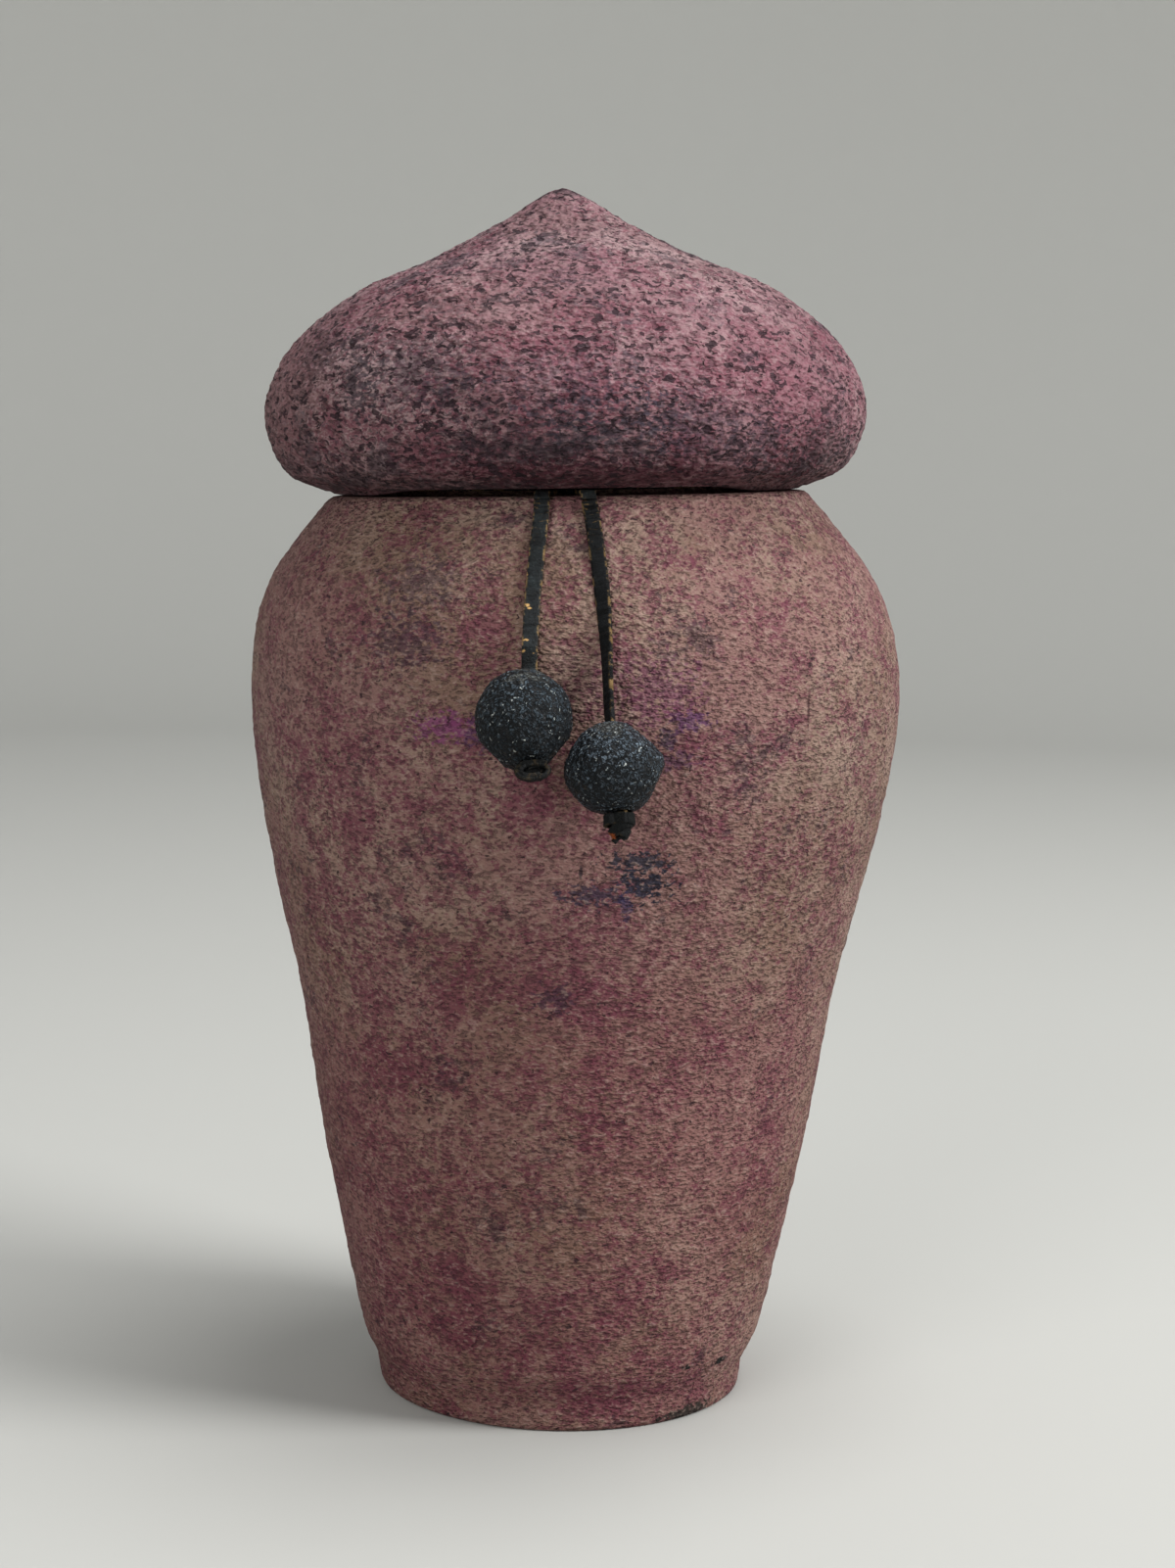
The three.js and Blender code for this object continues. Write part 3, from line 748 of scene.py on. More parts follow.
def layStrap(line, facing, width, thickness, twist=None, wrinkle=0.0, taper=None, begin=0.0):
    # flat strap on a line: its end face is extruded from ring to ring
    # facing(point) is the way its flat side looks, twist(share) turns it about its own line
    # begin is how far down the lace this stretch starts
    mesh = bmesh.new()
    along = mesh.verts.layers.float.new("alongLace")
    across = mesh.verts.layers.float.new("acrossLace")
    half = Vector((width / 2, thickness / 2))
    start = [mesh.verts.new((x * half.x, y * half.y, 0)) for x, y in lace["section"]]
    face = mesh.faces.new(start)
    current = Matrix.Identity(4)
    walked = begin
    last = len(line) - 1
    for i, centre in enumerate(line):
        heading = (line[min(i + 1, last)] - line[max(i - 1, 0)]).normalized()
        outward = facing(centre)
        side = outward.cross(heading).normalized()
        flat = heading.cross(side)
        place = Matrix((side, flat, heading)).transposed().to_4x4()
        if twist:
            place = place @ Matrix.Rotation(twist(i / last), 4, "Z")
        if taper:
            place = place @ Matrix.Diagonal((taper(i / last), taper(i / last), 1, 1))
        place.translation = centre
        if i > 0:
            walked += (centre - line[i - 1]).length
            grown = bmesh.ops.extrude_face_region(mesh, geom=[face])["geom"]
            face = next(item for item in grown if isinstance(item, bmesh.types.BMFace))
        ring = list(face.verts)
        bmesh.ops.transform(mesh, matrix=place @ current.inverted(), verts=ring)
        back = place.inverted()
        for vert in ring:
            vert[along] = walked
            vert[across] = (back @ vert.co).x / half.x
        current = place
    mesh.normal_update()
    bmesh.ops.recalc_face_normals(mesh, faces=mesh.faces)
    if wrinkle:
        for vert in mesh.verts:
            shift = sum(noise.noise(vert.co * fineness) * share for fineness, share in lace["folds"])
            vert.co += vert.normal * shift * wrinkle
    return mesh


def awayFromAxis(point):
    return Vector((point.x, point.y, 0)).normalized()


# centre lines of the two tails in mm, from the edge of the ledge to the end knots
leftTail = {
    "route": [
        (-7.4, -53.7, 199.35), (-7.4, -55.6, 197.0), (-7.6, -58.1, 194.0), (-7.9, -60.5, 190.9),
        (-8.1, -62.8, 187.8), (-8.3, -64.9, 184.7), (-8.5, -66.7, 181.6), (-8.7, -68.3, 178.3),
        (-8.8, -69.8, 174.9), (-8.9, -71.3, 171.6), (-8.9, -72.9, 168.4), (-8.8, -74.8, 165.2),
        (-8.4, -78.0, 161.1), (-8.0, -81.2, 157.0), (-7.2, -87.6, 148.8),
    ],
    "length": 61,
    "twist": (0.5, 1.0, 0.12),  # from this share of the length to this one, by radians
}
rightTail = {
    "route": [
        (2.2, -54.0, 199.35), (2.7, -55.9, 197.0), (3.3, -58.4, 194.0), (3.8, -60.8, 190.9),
        (4.3, -63.1, 187.7), (4.8, -65.2, 184.4), (5.2, -67.0, 181.3), (5.6, -68.6, 178.1),
        (5.9, -70.1, 174.8), (6.2, -71.6, 171.4), (6.4, -73.0, 168.0), (6.6, -74.5, 164.5),
        (6.8, -76.0, 161.0), (7.2, -77.8, 156.7), (8.5, -81.5, 148.3), (9.9, -85.4, 139.4),
    ],
    "length": 69,
    "twist": (0.12, 0.62, 1.2),
}


def makeTail(name, tail, body, node, leather):
    line = evenly(smoothLine(tail["route"], 400), lace["step"] * mm)
    low, high, angle = tail["twist"]
    mesh = layStrap(
        line, awayFromAxis, lace["width"] * mm, lace["thickness"] * mm,
        twist=lambda share: angle * smoothStep(low, high, share), wrinkle=lace["wrinkle"] * mm,
    )
    piece = finishPiece(mesh, name, body, leather, [node])
    return piece, line


leftLace, leftLine = makeTail("leftLace", leftTail, "left_tail", "left_lace", leatherOfLace)
rightLace, rightLine = makeTail("rightLace", rightTail, "right_tail", "right_lace", leatherInShade)
print("laces laid")


def upTheLace(line):
    # the way back up a lace from its end, along the bore of its bead
    return (line[-12] - line[-1]).normalized()


beadShape = {
    "bore": 1.8,  # its radius, mm
    "lip": 0.12,  # share of the bore that its edges are rounded by
    "outline": 130,  # stretches from pole to pole
    "wall": 12,  # stretches down the bore
    "steps": 200,
    "softened": 0.9,  # share of what stands past a flat that is pressed in
    "lumps": 160,  # fineness
    "grit": [(700, 0.16), (1500, 0.14)],  # fineness and height in mm
    "worn": 0.08,  # mm that the surface lies under the solid's, so that the grit stays inside
    "shy": 0.12,  # mm more at the back, where the bead turns close to the jar
}
leftBead = {
    "radius": 9.5,
    "height": 20.4,
    "power": 2.0,
    "taper": 0.05,
    "flats": [((-0.73, -0.1, -0.68), 8.88), ((0.8, -0.1, -0.6), 8.88)],
    "dents": [((0.4, -0.9, 0.3), 1.2, 0.25)],  # way, radius and depth in mm
    "lump": 0.24,
    "seed": 4,
}
rightBead = {
    "radius": 9.9,
    "height": 18.8,
    "power": 1.85,
    "taper": -0.03,
    "flats": [((0.62, -0.1, 0.79), 7.92), ((0.9, -0.1, -0.43), 8.51), ((-0.8, -0.1, 0.6), 9.2),
              ((0, 0, -1), 9.1), ((0, 0, 1), 9.0)],
    "dents": [((0.62, -0.62, 0.48), 1.0, 0.9)],
    "lump": 0.3,
    "seed": 9,
}


def beadOutline(bead, bore):
    # the outline of half a bead, closed down its bore
    radius = bead["radius"] * mm
    half = bead["height"] * mm / 2
    outline = []
    for i in range(beadShape["outline"] + 1):
        angle = math.pi * (i / beadShape["outline"] - 0.5)
        wide = abs(math.cos(angle)) ** (2 / bead["power"])
        tall = math.copysign(abs(math.sin(angle)) ** (2 / bead["power"]), angle)
        outline.append(Vector((radius * wide * (1 + bead["taper"] * tall), half * tall)))
    lip = bore * beadShape["lip"]
    outline = [point for point in outline if point.x > bore + lip]
    bottom, top = outline[0].y, outline[-1].y
    count = beadShape["wall"]
    wall = [Vector((bore, top - lip + (bottom + lip * 2 - top) * i / count)) for i in range(count + 1)]
    return [*outline, Vector((bore + lip * 0.3, top - lip * 0.2)), *wall,
            Vector((bore + lip * 0.3, bottom + lip * 0.2))]


def makeBead(name, bead, line, body, node, clay):
    # the bead takes its place from the CAD solid; its bore runs round the lace, off the middle
    low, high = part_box(node)
    centre = (Vector(low) + Vector(high)) / 2
    axis = upTheLace(line)
    middle = line[-1] + axis * (centre - line[-1]).dot(axis)
    turned = up.rotation_difference(axis).to_matrix().to_4x4()
    radius = bead["radius"] * mm
    bore = beadShape["bore"] * mm
    mesh = turnShell(beadOutline(bead, bore), beadShape["steps"], closed=True)
    bmesh.ops.transform(mesh, matrix=Matrix.Translation(middle) @ turned, verts=mesh.verts)
    mesh.normal_update()
    seed = Vector((bead["seed"], 0, 0))
    for vert in mesh.verts:
        out = vert.co - middle
        beside = (out - axis * out.dot(axis)).length
        keep = smoothStep(bore * 1.02, bore * 1.6, beside)  # the bore itself stays round
        vert.co += (centre - middle) * smoothStep(bore * 1.1, radius * 0.7, beside)
        out = vert.co - centre
        for direction, depth in bead["flats"]:
            way = Vector(direction).normalized()
            over = out.dot(way) - depth * mm
            if over > 0:
                vert.co -= way * over * beadShape["softened"] * keep
        for direction, wide, depth in bead["dents"]:
            way = Vector(direction).normalized()
            far = (out.normalized() - way).length * radius / (wide * mm)
            vert.co -= vert.normal * depth * mm * smoothStep(1.0, 0.3, far)
        lumps = noise.noise(out * beadShape["lumps"] + seed) * bead["lump"]
        grit = sum(noise.noise(out * fineness + seed) * height for fineness, height in beadShape["grit"])
        back = smoothStep(0.15, 0.7, out.normalized().y)
        rough = (lumps + grit) * (1 - back) - beadShape["worn"] - beadShape["shy"] * back
        vert.co += vert.normal * rough * keep * mm
    return finishPiece(mesh, name, body, clay, [node])


leftBeadPiece = makeBead("leftBead", leftBead, leftLine, "left_bead", "left_bead", clayOfLeftBead)
rightBeadPiece = makeBead("rightBead", rightBead, rightLine, "right_bead", "right_bead", clayOfRightBead)


leftKnot = {
    "wrap": (0.85, 5.8, 4.8, 0, 1.4),  # how far under the bead, width, depth, tilt, band
    "drop": 1.5,
    "forward": 1.2,
    "shift": -0.3,
    "facing": 24,  # degrees that the curl leans towards the viewer
    "wide": 8.0,
    "tall": 4.4,
    "turns": 1.8,
    "last": 40,  # degrees, where the outer end of the curl stands
    "points": 120,
    "eye": 0.42,  # share of its size at the inner end
    "opening": 0.55,
    "core": (0.33, 0.7, 0.3),  # share of the width, mm, share of the height
}
rightKnot = {
    "shift": -0.8,
    "wraps": [
        # how far under the bead, width, depth, tilt in degrees, and width of the band, mm
        (0.9, 6.3, 4.8, 5, 2.3),
        (2.6, 4.8, 4.3, -28, 2.2),
        (3.1, 4.0, 3.9, 35, 2.0),
    ],
    "tips": [
        # where it starts under the bead, sideways lean, length and width
        (2.9, -0.7, 2.4, 2.0),
        (3.0, 0.3, 2.1, 1.5),
    ],
}


def knotPlace(line, drop):
    # a place under the bead: X to the side, Y away from the viewer, Z back up the lace
    axis = upTheLace(line)
    deep = (Vector((0, 1, 0)) - axis * axis.y).normalized()
    side = deep.cross(axis)
    place = Matrix((side, deep, axis)).transposed().to_4x4()
    place.translation = line[-1] - axis * drop * mm
    return place


def layKnotted(line, facing, band, taper=None):
    # lace as it lies in a knot: a little thinner and more wrinkled, band mm wide
    return layStrap(line, facing, band * mm, lace["thickness"] * lace["pressed"] * mm,
                    wrinkle=lace["pinchedWrinkle"] * mm, taper=taper, begin=lace["knotBegin"])


def windLace(place, wide, deep, band, count, reach, facingSide=False):
    # the lace wound round a place; reach(share) gives the angle and the share of the size
    spiral = []
    for i in range(count + 1):
        angle, size = reach(i / count)
        x = wide / 2 * mm * size * math.cos(angle)
        y = deep / 2 * mm * size * math.sin(angle)
        spiral.append(place @ (Vector((x, 0, y)) if facingSide else Vector((x, y, 0))))
    middle = place.translation
    square = place.to_3x3().col[1 if facingSide else 2]

    def outwards(point):
        away = point - middle
        return (away - square * away.dot(square)).normalized()

    return layKnotted(spiral, outwards, band)


def joined(first, second):
    # adds the second bmesh to the first
    data = bpy.data.meshes.new("part")
    second.to_mesh(data)
    second.free()
    first.from_mesh(data)
    bpy.data.meshes.remove(data)
    return first


tightTurn = {
    "points": 90,
    "angle": 2.3 * math.pi,
    "waver": 0.1,  # share of its size
    "wavers": 7,
    "core": (0.4, 0.4, 0.5),  # shares of its width, depth and band
}


def makeTurn(place, wrap, start):
    # one tight turn round the lace, filled in the middle
    wide, deep, band = wrap[1], wrap[2], wrap[4]
    thickness = lace["thickness"]

    def reach(share):
        waver = tightTurn["waver"] * math.sin(share * tightTurn["wavers"] + start)
        return start + share * tightTurn["angle"], 1 - waver

    turn = windLace(place, wide - thickness, deep - thickness, band, tightTurn["points"], reach)
    x, y, z = tightTurn["core"]
    fillCore(turn, place, (wide * x, deep * y, band * z))
    return turn


def makeCurl(name, knot, line, body, node):
    # the lace's end wound once under the bead, then rolled on itself and pressed flat
    curled = makeTurn(knotPlace(line, knot["wrap"][0]), knot["wrap"], 0.4)
    aside = Vector((knot["shift"], -knot["forward"], 0)) * mm
    place = knotPlace(line, knot["drop"]) @ Matrix.Translation(aside)
    place = place @ Matrix.Rotation(math.radians(knot["facing"]), 4, "X")
    thickness = lace["thickness"]
    last = math.radians(knot["last"])

    def reach(share):
        angle = last + (1 - share) * knot["turns"] * 2 * math.pi
        return angle, knot["eye"] + (1 - knot["eye"]) * share ** knot["opening"]

    curl = windLace(place, knot["wide"] - thickness, knot["tall"] - thickness, lace["width"],
                    knot["points"], reach, facingSide=True)
    x, y, z = knot["core"]
    fillCore(curl, place, (knot["wide"] * x, y, knot["tall"] * z))
    return finishPiece(joined(curled, curl), name, body, leatherOfKnots, [node])


def makeWrappedKnot(name, knot, line, body, node):
    # a few tight turns under the bead, with the cut tips left hanging
    knotted = bmesh.new()
    for k, wrap in enumerate(knot["wraps"]):
        place = knotPlace(line, wrap[0]) @ Matrix.Rotation(math.radians(wrap[3]), 4, "Y")
        place.translation.x += knot["shift"] * mm
        knotted = joined(knotted, makeTurn(place, wrap, 1.1 * k))
    for drop, lean, length, width in knot["tips"]:
        place = knotPlace(line, drop)
        place.translation.x += knot["shift"] * mm
        spots = [(lean * length * t ** 1.4, -0.3 - 0.4 * t, -length * t) for t in (0, 0.3, 0.6, 1)]
        strip = [place @ spot for spot in smoothLine(spots, 14)]
        tip = layKnotted(strip, lambda point: Vector((0, -1, 0.2)), width, lambda share: 1 - 0.45 * share)
        knotted = joined(knotted, tip)
    return finishPiece(knotted, name, body, leatherOfKnots, [node])


leftKnotPiece = makeCurl("leftEndKnot", leftKnot, leftLine, "left_tail", "left_end_knot")
rightKnotPiece = makeWrappedKnot("rightEndKnot", rightKnot, rightLine, "right_tail", "right_end_knot")

print("beads and knots made")


jar = {
    "foot": {"radius": 41.5, "ring": 7, "recess": 3, "edge": 1.7, "drift": -0.8},
    "waist": [(41.5, 6), (42.1, 8.1), (44.5, 11.3), (45.1, 14.5)],  # the soft step up to the wall
    "wall": [(45.1, 14.5), (52.52, 48.37), (59.65, 90.27), (68.58, 130.16), (71.6, 158),
             (67.1, 180), (52.3, 200.3)],
    "belly": 158,
    "rim": {"height": 200.3, "edge": 1.3, "drift": -2.4, "tilt": 1.8},
    "collar": {"radius": 41.3, "wall": 4.5, "height": 7},
    "wallThickness": 6,
    "floor": 10,
    "steps": 384,
    "rings": (700, 22, 5, 0.05),  # how close, how finely and how far they wander, height in mm
    "lumps": [(38, 0, 0.35), (120, 0, 0.18)],  # fineness, seed and height in mm
    "grit": [(330, 0, 0.14), (560, 0, 0.16)],
    "gritFlatness": 1.8,
    "insideCalm": 0.6,
    "roughFrom": (0.2, 2.0),  # mm above the foot
    "roughTo": (0.2, 2.5),  # mm under the ledge
    "collarCalm": (1, 8),  # mm round the collar and under the ledge that stay true
}


def thinned(line, thickness):
    # the line moved inwards by the wall, square to its direction
    moved = []
    for i, point in enumerate(line):
        way = (line[min(i + 1, len(line) - 1)] - line[max(i - 1, 0)]).normalized()
        moved.append(Vector((point.x - way.y * thickness, point.y + way.x * thickness)))
    return moved


def softCorner(start, corner, end, count=5):
    # a rounded corner between two places
    return [start.lerp(corner, i / count).lerp(corner.lerp(end, i / count), i / count)
            for i in range(count + 1)]


def evenSteps(start, end, count):
    # count + 1 values from start to end
    return [start + (end - start) * i / count for i in range(count + 1)]


def jarProfile():
    foot, rim, collar = jar["foot"], jar["rim"], jar["collar"]
    wall = smoothLine(jar["wall"], 300)
    inner = (foot["radius"] - foot["ring"]) * mm
    footEdge = foot["radius"] * mm
    tall = rim["height"] * mm
    edge = foot["edge"] * mm
    underside = [Vector((0, foot["recess"] * mm)), Vector((inner - 1 * mm, foot["recess"] * mm)),
                 Vector((inner + 0.5 * mm, 0)), Vector((footEdge - edge, 0))]
    footSide = softCorner(Vector((footEdge - edge, 0)), Vector((footEdge - edge * 0.5, 0)),
                          Vector((footEdge - edge * 0.4, edge * 0.7)))
    a, b, c, d = [Vector(point) * mm for point in jar["waist"]]
    footSide += [a * (1 - t) ** 3 + 3 * b * t * (1 - t) ** 2 + 3 * c * t ** 2 * (1 - t) + d * t ** 3
                 for t in evenSteps(0, 1, 16)]
    corner = wall[-1]
    ledge = softCorner(wall[-8], corner, Vector((corner.x - rim["edge"] * mm, tall)))
    collarOut = collar["radius"] * mm
    collarIn = (collar["radius"] - collar["wall"]) * mm
    collarMid = (collarOut + collarIn) / 2
    half = (collarOut - collarIn) / 2
    lipMid = tall + collar["height"] * mm - half
    lip = [Vector((collarMid + half * math.cos(a), lipMid + half * math.sin(a)))
           for a in evenSteps(0, math.pi, 8)]
    ledge += [Vector((collarOut + 0.6 * mm, tall)), Vector((collarOut, tall + 0.6 * mm))]
    thick = jar["wallThickness"] * mm
    inside = [point for point in thinned(wall, thick)
              if (jar["floor"] + 8) * mm < point.y < tall - thick - 3 * mm]
    inside.reverse()
    throat = softCorner(Vector((collarIn, tall - thick + 1.5 * mm)), Vector((collarIn, tall - thick)),
                        Vector((collarIn + 1.5 * mm, tall - thick)), 3)
    throat += softCorner(Vector((inside[0].x - 7 * mm, tall - thick)),
                         Vector((inside[0].x - 1.5 * mm, tall - thick)), inside[0], 4)[:-1]
    lowest = inside[-1]
    floor = softCorner(lowest, Vector((lowest.x - 2 * mm, jar["floor"] * mm)),
                       Vector((lowest.x - 10 * mm, jar["floor"] * mm)), 4)
    floor += [Vector((0, jar["floor"] * mm))]
    return joinLines([(underside, 5), (footSide, 0.9), (wall[:-7], 1.2), (ledge, 1.2), (lip, 1.6),
                      (throat, 3), (inside, 7), (floor, 5)])


def leanJar(point):
    # rings shift and tip as they rise, as they did under the thrower's hands
    rim = jar["rim"]
    level = min(point.z, rim["height"] * mm)
    above = point.z - level
    belly = jar["belly"] * mm
    lower = smoothStep(belly * 0.57, belly, level)
    upper = smoothStep(belly, rim["height"] * mm, level)
    drift = (jar["foot"]["drift"] * (1 - lower) + rim["drift"] * upper) * mm
    tilt = math.radians(rim["tilt"]) * upper
    return Vector((
        drift + point.x * math.cos(tilt) - above * math.sin(tilt),
        point.y,
        level + point.x * math.sin(tilt) + above * math.cos(tilt),
    ))


def neckFrame():
    # the drifting, tilted ledge that the lid sits on: Z is up along the neck
    rim = jar["rim"]
    place = Matrix.Translation(Vector((rim["drift"], 0, rim["height"])) * mm)
    return place @ Matrix.Rotation(math.radians(-rim["tilt"]), 4, "Y")


def squeezed(spot, flatness):
    return Vector((spot.x, spot.y, spot.z * flatness))


def bumps(spot, layers):
    # height in mm of noises laid over each other, each with its fineness, seed and height
    return sum(noise.noise(spot * fineness + up * seed) * height for fineness, seed, height in layers)


def makeJar():
    mesh = turnShell(jarProfile(), jar["steps"])
    top = jar["rim"]["height"] * mm
    aside, under = jar["collarCalm"]
    collarOut = (jar["collar"]["radius"] + aside) * mm
    low, high = Vector(jar["roughFrom"]) * mm
    above, below = Vector(jar["roughTo"]) * mm
    close, wander, far, ringHeight = jar["rings"]
    for vert in mesh.verts:
        spot = vert.co
        # the outer wall is rough, the seat of the lid and the underside stay true
        rough = smoothStep(low, high, spot.z) * smoothStep(top - above, top - below, spot.z)
        if vert.normal.xy.dot(spot.xy) < 0:
            rough *= 1 - jar["insideCalm"]
        if spot.xy.length < collarOut and spot.z > top - under * mm:
            rough = 0.0
        rings = math.sin(spot.z * close + far * noise.noise(spot * wander)) * ringHeight
        lumps = bumps(spot, jar["lumps"])
        grit = bumps(squeezed(spot, jar["gritFlatness"]), jar["grit"])
        vert.co += vert.normal * (rings + lumps + grit) * rough * mm
    for vert in mesh.verts:
        vert.co = leanJar(vert.co)
    return finishPiece(mesh, "jarShell", "jar", clayOfJar, ["urn_body"])


makeJar()
print("jar thrown")


lid = {
    "side": [(53.7, 0.32), (61.3, 4.1), (65.75, 13.5), (64.3, 23.68), (57.33, 33.51), (44.45, 43.28),
             (30.57, 49.17), (15.58, 56.72), (6.7, 62.2)],
    "tipBend": [(6.7, 62.2), (1.7, 65.2), (0, 65.2)],  # over the rounded tip
    "wallThickness": 7,
    "groove": {"radius": 47.5, "depth": 8.2},
    "flange": {"radius": 35.2, "wall": 5, "drop": 7},
    "offset": -0.5,
    "lift": 0.95,
    "tip": -0.712,  # degrees, forwards over the laces
    "seat": {"inner": 47.5, "outer": 52.2, "clear": 0.3},  # the seat meets the ledge beside the laces
    "steps": 460,
    "lumps": [(45, 1, 0.45), (140, 0, 0.22)],  # fineness, seed and height in mm
    "grit": [(420, 0, 0.24), (760, 0, 0.26)],
    "gritFlatness": 1.6,
    "pits": {"fineness": 540, "seed": 7, "from": (0.22, 0.42), "depth": 0.55},
    "tipCalm": 0.6,
    "tipCalmOver": (8, 1),  # mm under the tip, from and to
    "roughFrom": (0.3, 2.5),  # mm above the seat
    "lacesAside": (38, 54),  # degrees from the front, where the seat starts to come down and is down
}


def lidProfile():
    side = smoothLine(lid["side"], 300)
    a, b, c = [Vector(point) * mm for point in lid["tipBend"]]
    side += [a.lerp(b, t).lerp(b.lerp(c, t), t) for t in evenSteps(0, 1, 16)[1:]]
    groove, flange = lid["groove"], lid["flange"]
    ceiling = (groove["depth"] + lid["wallThickness"] * 0.85) * mm
    flangeIn = (flange["radius"] - flange["wall"]) * mm
    flangeOut = flange["radius"] * mm
    deep = groove["depth"] * mm
    wide = groove["radius"] * mm
    inside = [point for point in thinned(side, lid["wallThickness"] * mm)
              if point.x > 1 * mm and point.y > ceiling + 4 * mm]
    inside.reverse()
    inside.insert(0, Vector((0, inside[0].y + 0.2 * mm)))
    corner = inside[-1]
    cavity = softCorner(corner, Vector((corner.x, ceiling)), Vector((corner.x - 4 * mm, ceiling)), 3)
    cavity += softCorner(Vector((flangeIn + 2 * mm, ceiling)), Vector((flangeIn, ceiling)),
                         Vector((flangeIn, ceiling - 2 * mm)), 3)
    middle = (flangeIn + flangeOut) / 2
    half = (flangeOut - flangeIn) / 2
    endMid = half - flange["drop"] * mm
    flangeEnd = [Vector((middle + half * math.cos(a), endMid + half * math.sin(a)))
                 for a in evenSteps(math.pi, 2 * math.pi, 8)]
    seat = softCorner(Vector((flangeOut, deep - 1 * mm)), Vector((flangeOut, deep)),
                      Vector((flangeOut + 1 * mm, deep)), 3)
    seat += softCorner(Vector((wide - 1 * mm, deep)), Vector((wide, deep)), Vector((wide, deep - 1 * mm)), 3)
    seat += softCorner(Vector((wide, 0.5 * mm)), Vector((wide, 0)), Vector((wide + 0.5 * mm, 0)), 3)
    seat += softCorner(Vector((side[0].x - 0.8 * mm, 0)), Vector((side[0].x - 0.2 * mm, 0)), side[0], 3)
    return joinLines([(inside, 5), (cavity, 3), (flangeEnd, 2), (seat, 0.9), (side, 0.8)])


def seatDrop(spot):
    # beside the laces the inner part of the seat comes down on the ledge, by this much in mm
    ring = lid["seat"]
    wide = spot.xy.length / mm
    if spot.z >= 0.5 * mm or not ring["inner"] < wide < ring["outer"]:
        return 0
    gap = lid["lift"] + spot.y / mm * math.sin(math.radians(lid["tip"]))
    aside = math.degrees(math.atan2(abs(spot.x), -spot.y))
    share = smoothStep(*lid["lacesAside"], aside) * smoothStep(ring["outer"], ring["outer"] - 1.5, wide)
    return max(gap - ring["clear"], 0) * share


def makeLid():
    mesh = turnShell(lidProfile(), lid["steps"])
    tip = lid["tipBend"][-1][1] * mm
    under, near = Vector(lid["tipCalmOver"]) * mm
    low, high = Vector(lid["roughFrom"]) * mm
    pits = lid["pits"]
    for vert in mesh.verts:
        spot = vert.co
        outer = spot.xy.length > (lid["side"][0][0] - 2) * mm or spot.z > 30 * mm
        facing = vert.normal.dot(Vector((spot.x, spot.y, spot.z - 12 * mm)))
        rough = smoothStep(low, high, spot.z) if outer and facing > 0 else 0.0
        rough *= 1 - lid["tipCalm"] * smoothStep(tip - under, tip - near, spot.z)
        flat = squeezed(spot, lid["gritFlatness"])
        torn = noise.noise(flat * pits["fineness"] + up * pits["seed"])
        relief = bumps(spot, lid["lumps"]) + bumps(flat, lid["grit"])
        relief -= pits["depth"] * smoothStep(*pits["from"], torn)
        vert.co += vert.normal * relief * rough * mm
        vert.co.z -= seatDrop(vert.co) * mm
    seat = Matrix.Translation(Vector((lid["offset"], 0, lid["lift"])) * mm)
    seat = seat @ Matrix.Rotation(math.radians(lid["tip"]), 4, "X")
    bmesh.ops.transform(mesh, matrix=neckFrame() @ seat, verts=mesh.verts)
    return finishPiece(mesh, "domedLid", "lid", clayOfLid, ["lid"])


makeLid()
print("lid thrown")


tie = {
    "gap": 0.3,
    "loopHeight": 1.1,  # lower edge of the loop over the ledge
    "loopPoints": 320,
    "wrinkle": 0.05,
    "knot": {"wide": 9, "deep": 4.4, "turns": 2.2, "points": 140, "start": 0.6, "pinch": 0.55,
             "wrinkle": 0.1},
    "leftStrap": [(-3.1, -44.0, 1.9), (-3.4, -46.3, 0.95), (-4.2, -48.8, 0.8), (-4.8, -51.0, 0.8),
                  (-4.95, -52.5, 0.6), (-5.0, -53.48, -0.52)],
    "rightStrap": [(3.0, -44.0, 1.9), (3.2, -46.4, 0.95), (3.8, -48.9, 0.8), (4.3, -51.2, 0.8),
                   (4.45, -52.6, 0.6), (4.53, -53.6, -0.6)],
}


def makeLoop(place, radius, thickness, width):
    # one turn round the collar, open in front where the knot is
    half = (tie["knot"]["wide"] / 2 + tie["gap"]) * mm / radius
    middle = tie["loopHeight"] * mm + width / 2
    ring = [place @ Vector((radius * math.cos(a), radius * math.sin(a), middle))
            for a in evenSteps(half - math.pi / 2, 1.5 * math.pi - half, tie["loopPoints"])]
    centre = place.translation

    def fromNeck(point):
        away = point - centre
        return (away - up * away.dot(up)).normalized()

    loop = layStrap(ring, fromNeck, width, thickness * 0.95, wrinkle=tie["wrinkle"] * mm)
    finishPiece(loop, "neckLoop", "jar", leatherOfLace, ["lace_loop"])


def makeNeckKnot(place, radius, thickness, width):
    # the lace wound from one side to the other over a lump, in front of the collar
    knot = tie["knot"]
    half = knot["deep"] / 2 * mm
    core = place @ Vector((0, -(radius - thickness / 2 + half + 0.05 * mm), tie["gap"] * mm + half))
    roll = []
    for share in evenSteps(0, 1, knot["points"]):
        angle = share * knot["turns"] * 2 * math.pi + knot["start"]
        swell = knot["pinch"] + (1 - knot["pinch"]) * math.sin(math.pi * share) ** 0.5
        reach = (half - thickness / 2) * swell
        slide = (knot["wide"] / 2 * mm - width * 0.4) * (2 * share - 1)
        roll.append(core + Vector((slide, math.cos(angle) * reach, math.sin(angle) * reach)))
    wrap = layStrap(
        roll, lambda point: Vector((0, point.y - core.y, point.z - core.z)).normalized(),
        width * 0.85, thickness * lace["pressed"], wrinkle=knot["wrinkle"] * mm,
    )
    lump = (knot["wide"] * 0.42, knot["deep"] * 0.4, knot["deep"] * 0.4)
    fillCore(wrap, Matrix.Translation(core), lump, 28)
    finishPiece(wrap, "neckKnot", "jar", leatherOfLace, ["lace_knot"])


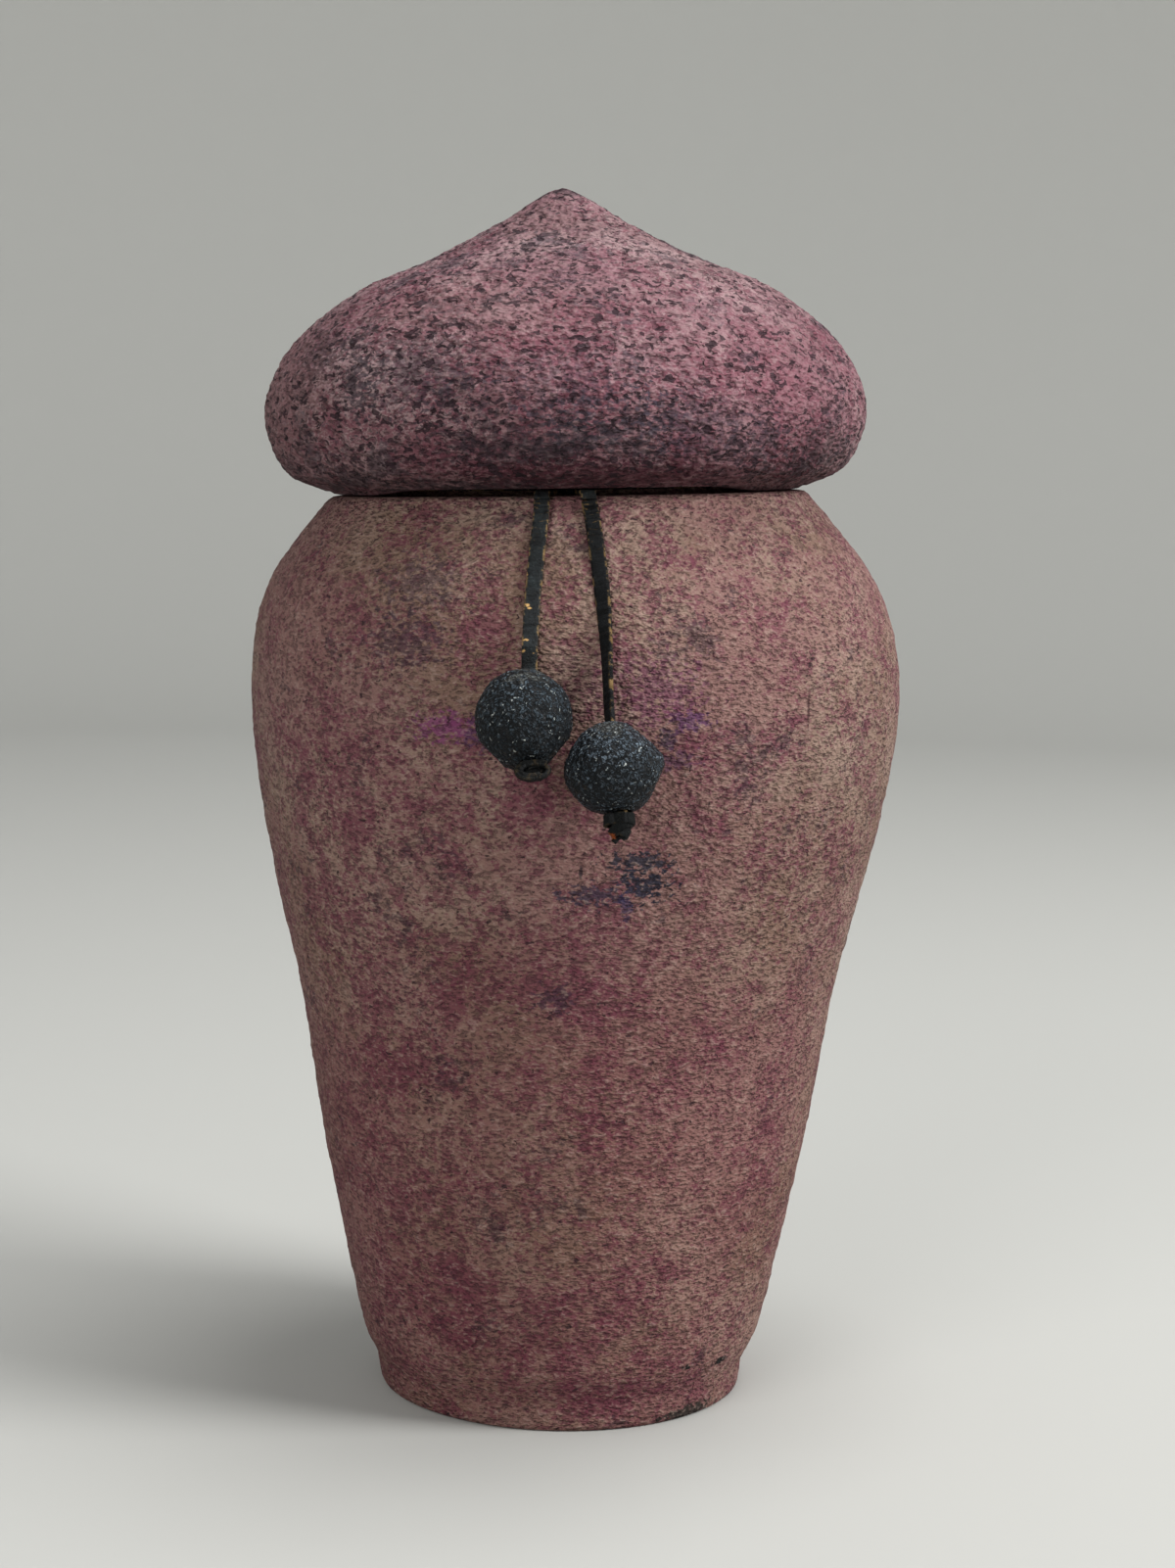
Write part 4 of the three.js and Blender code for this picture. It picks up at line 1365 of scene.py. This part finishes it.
def makeTie():
    place = neckFrame()
    width, thickness = lace["width"] * mm, lace["thickness"] * mm
    radius = (jar["collar"]["radius"] + tie["gap"]) * mm + thickness / 2
    makeLoop(place, radius, thickness, width)
    makeNeckKnot(place, radius, thickness, width)
    for name in ("leftStrap", "rightStrap"):
        line = [place @ point for point in smoothLine(tie[name], 80)]
        line = evenly(line, lace["step"] * mm)
        strap = layStrap(line, lambda point: up + awayFromAxis(point) * 0.2, width, thickness,
                         wrinkle=tie["wrinkle"] * mm)
        finishPiece(strap, name, "jar", leatherOfLace, [])


makeTie()
print("lace tied")


studio = {
    "floor": swatch(176, 176, 172),
    "radius": 2.2,
    "bend": 0.7,
    "height": 2.6,
    "steps": 72,
    "aim": (0, 0, 0.13),  # where the lamps look
    "sky": swatch(236, 238, 242),
    "skyStrength": 0.7,
    "lamps": [
        # name, place, size, watts
        ("keyLamp", (1.48, -0.5, 1.05), 0.8, 38),
        ("fillLamp", (-0.85, -1.5, 0.85), 1.1, 14),
        ("topLamp", (0.3, 0.0, 1.8), 0.9, 16),
    ],
}


def makeSweep(settings):
    # a pale floor that sweeps up all round, so that every view has the same ground
    radius, bend = settings["radius"], settings["bend"]
    outline = [Vector((0, 0)), Vector((radius - bend, 0))]
    outline += [Vector((radius - bend + bend * math.sin(a), bend - bend * math.cos(a)))
                for a in evenSteps(0, math.pi / 2, 12)[1:]]
    outline += [Vector((radius, settings["height"]))]
    material = bpy.data.materials.new("pale floor")
    material.use_nodes = True
    shader = material.node_tree.nodes["Principled BSDF"]
    shader.inputs["Base Color"].default_value = settings["floor"]
    shader.inputs["Roughness"].default_value = 0.95
    shader.inputs["Specular IOR Level"].default_value = 0.1
    sweep = placeMesh(turnShell(outline, settings["steps"]), "studioSweep", material)


def makeStudio(settings):
    makeSweep(settings)
    aim = Vector(settings["aim"])
    for name, place, size, watts in settings["lamps"]:
        light = bpy.data.lights.new(name, "AREA")
        light.shape = "DISK"
        light.size = size
        light.energy = watts
        lamp = bpy.data.objects.new(name, light)
        lamp.visible_camera = False
        spot = Vector(place)
        turned = (spot - aim).to_track_quat("Z", "Y").to_matrix().to_4x4()
        lamp.matrix_world = Matrix.Translation(spot) @ turned
        bpy.context.collection.objects.link(lamp)

    world = bpy.data.worlds.new("studio sky")
    world.use_nodes = True
    sky = world.node_tree.nodes["Background"]
    sky.inputs["Color"].default_value = settings["sky"]
    sky.inputs["Strength"].default_value = settings["skyStrength"]
    bpy.context.scene.world = world
    bpy.context.scene.view_settings.view_transform = "Standard"


makeStudio(studio)
print("studio lit")
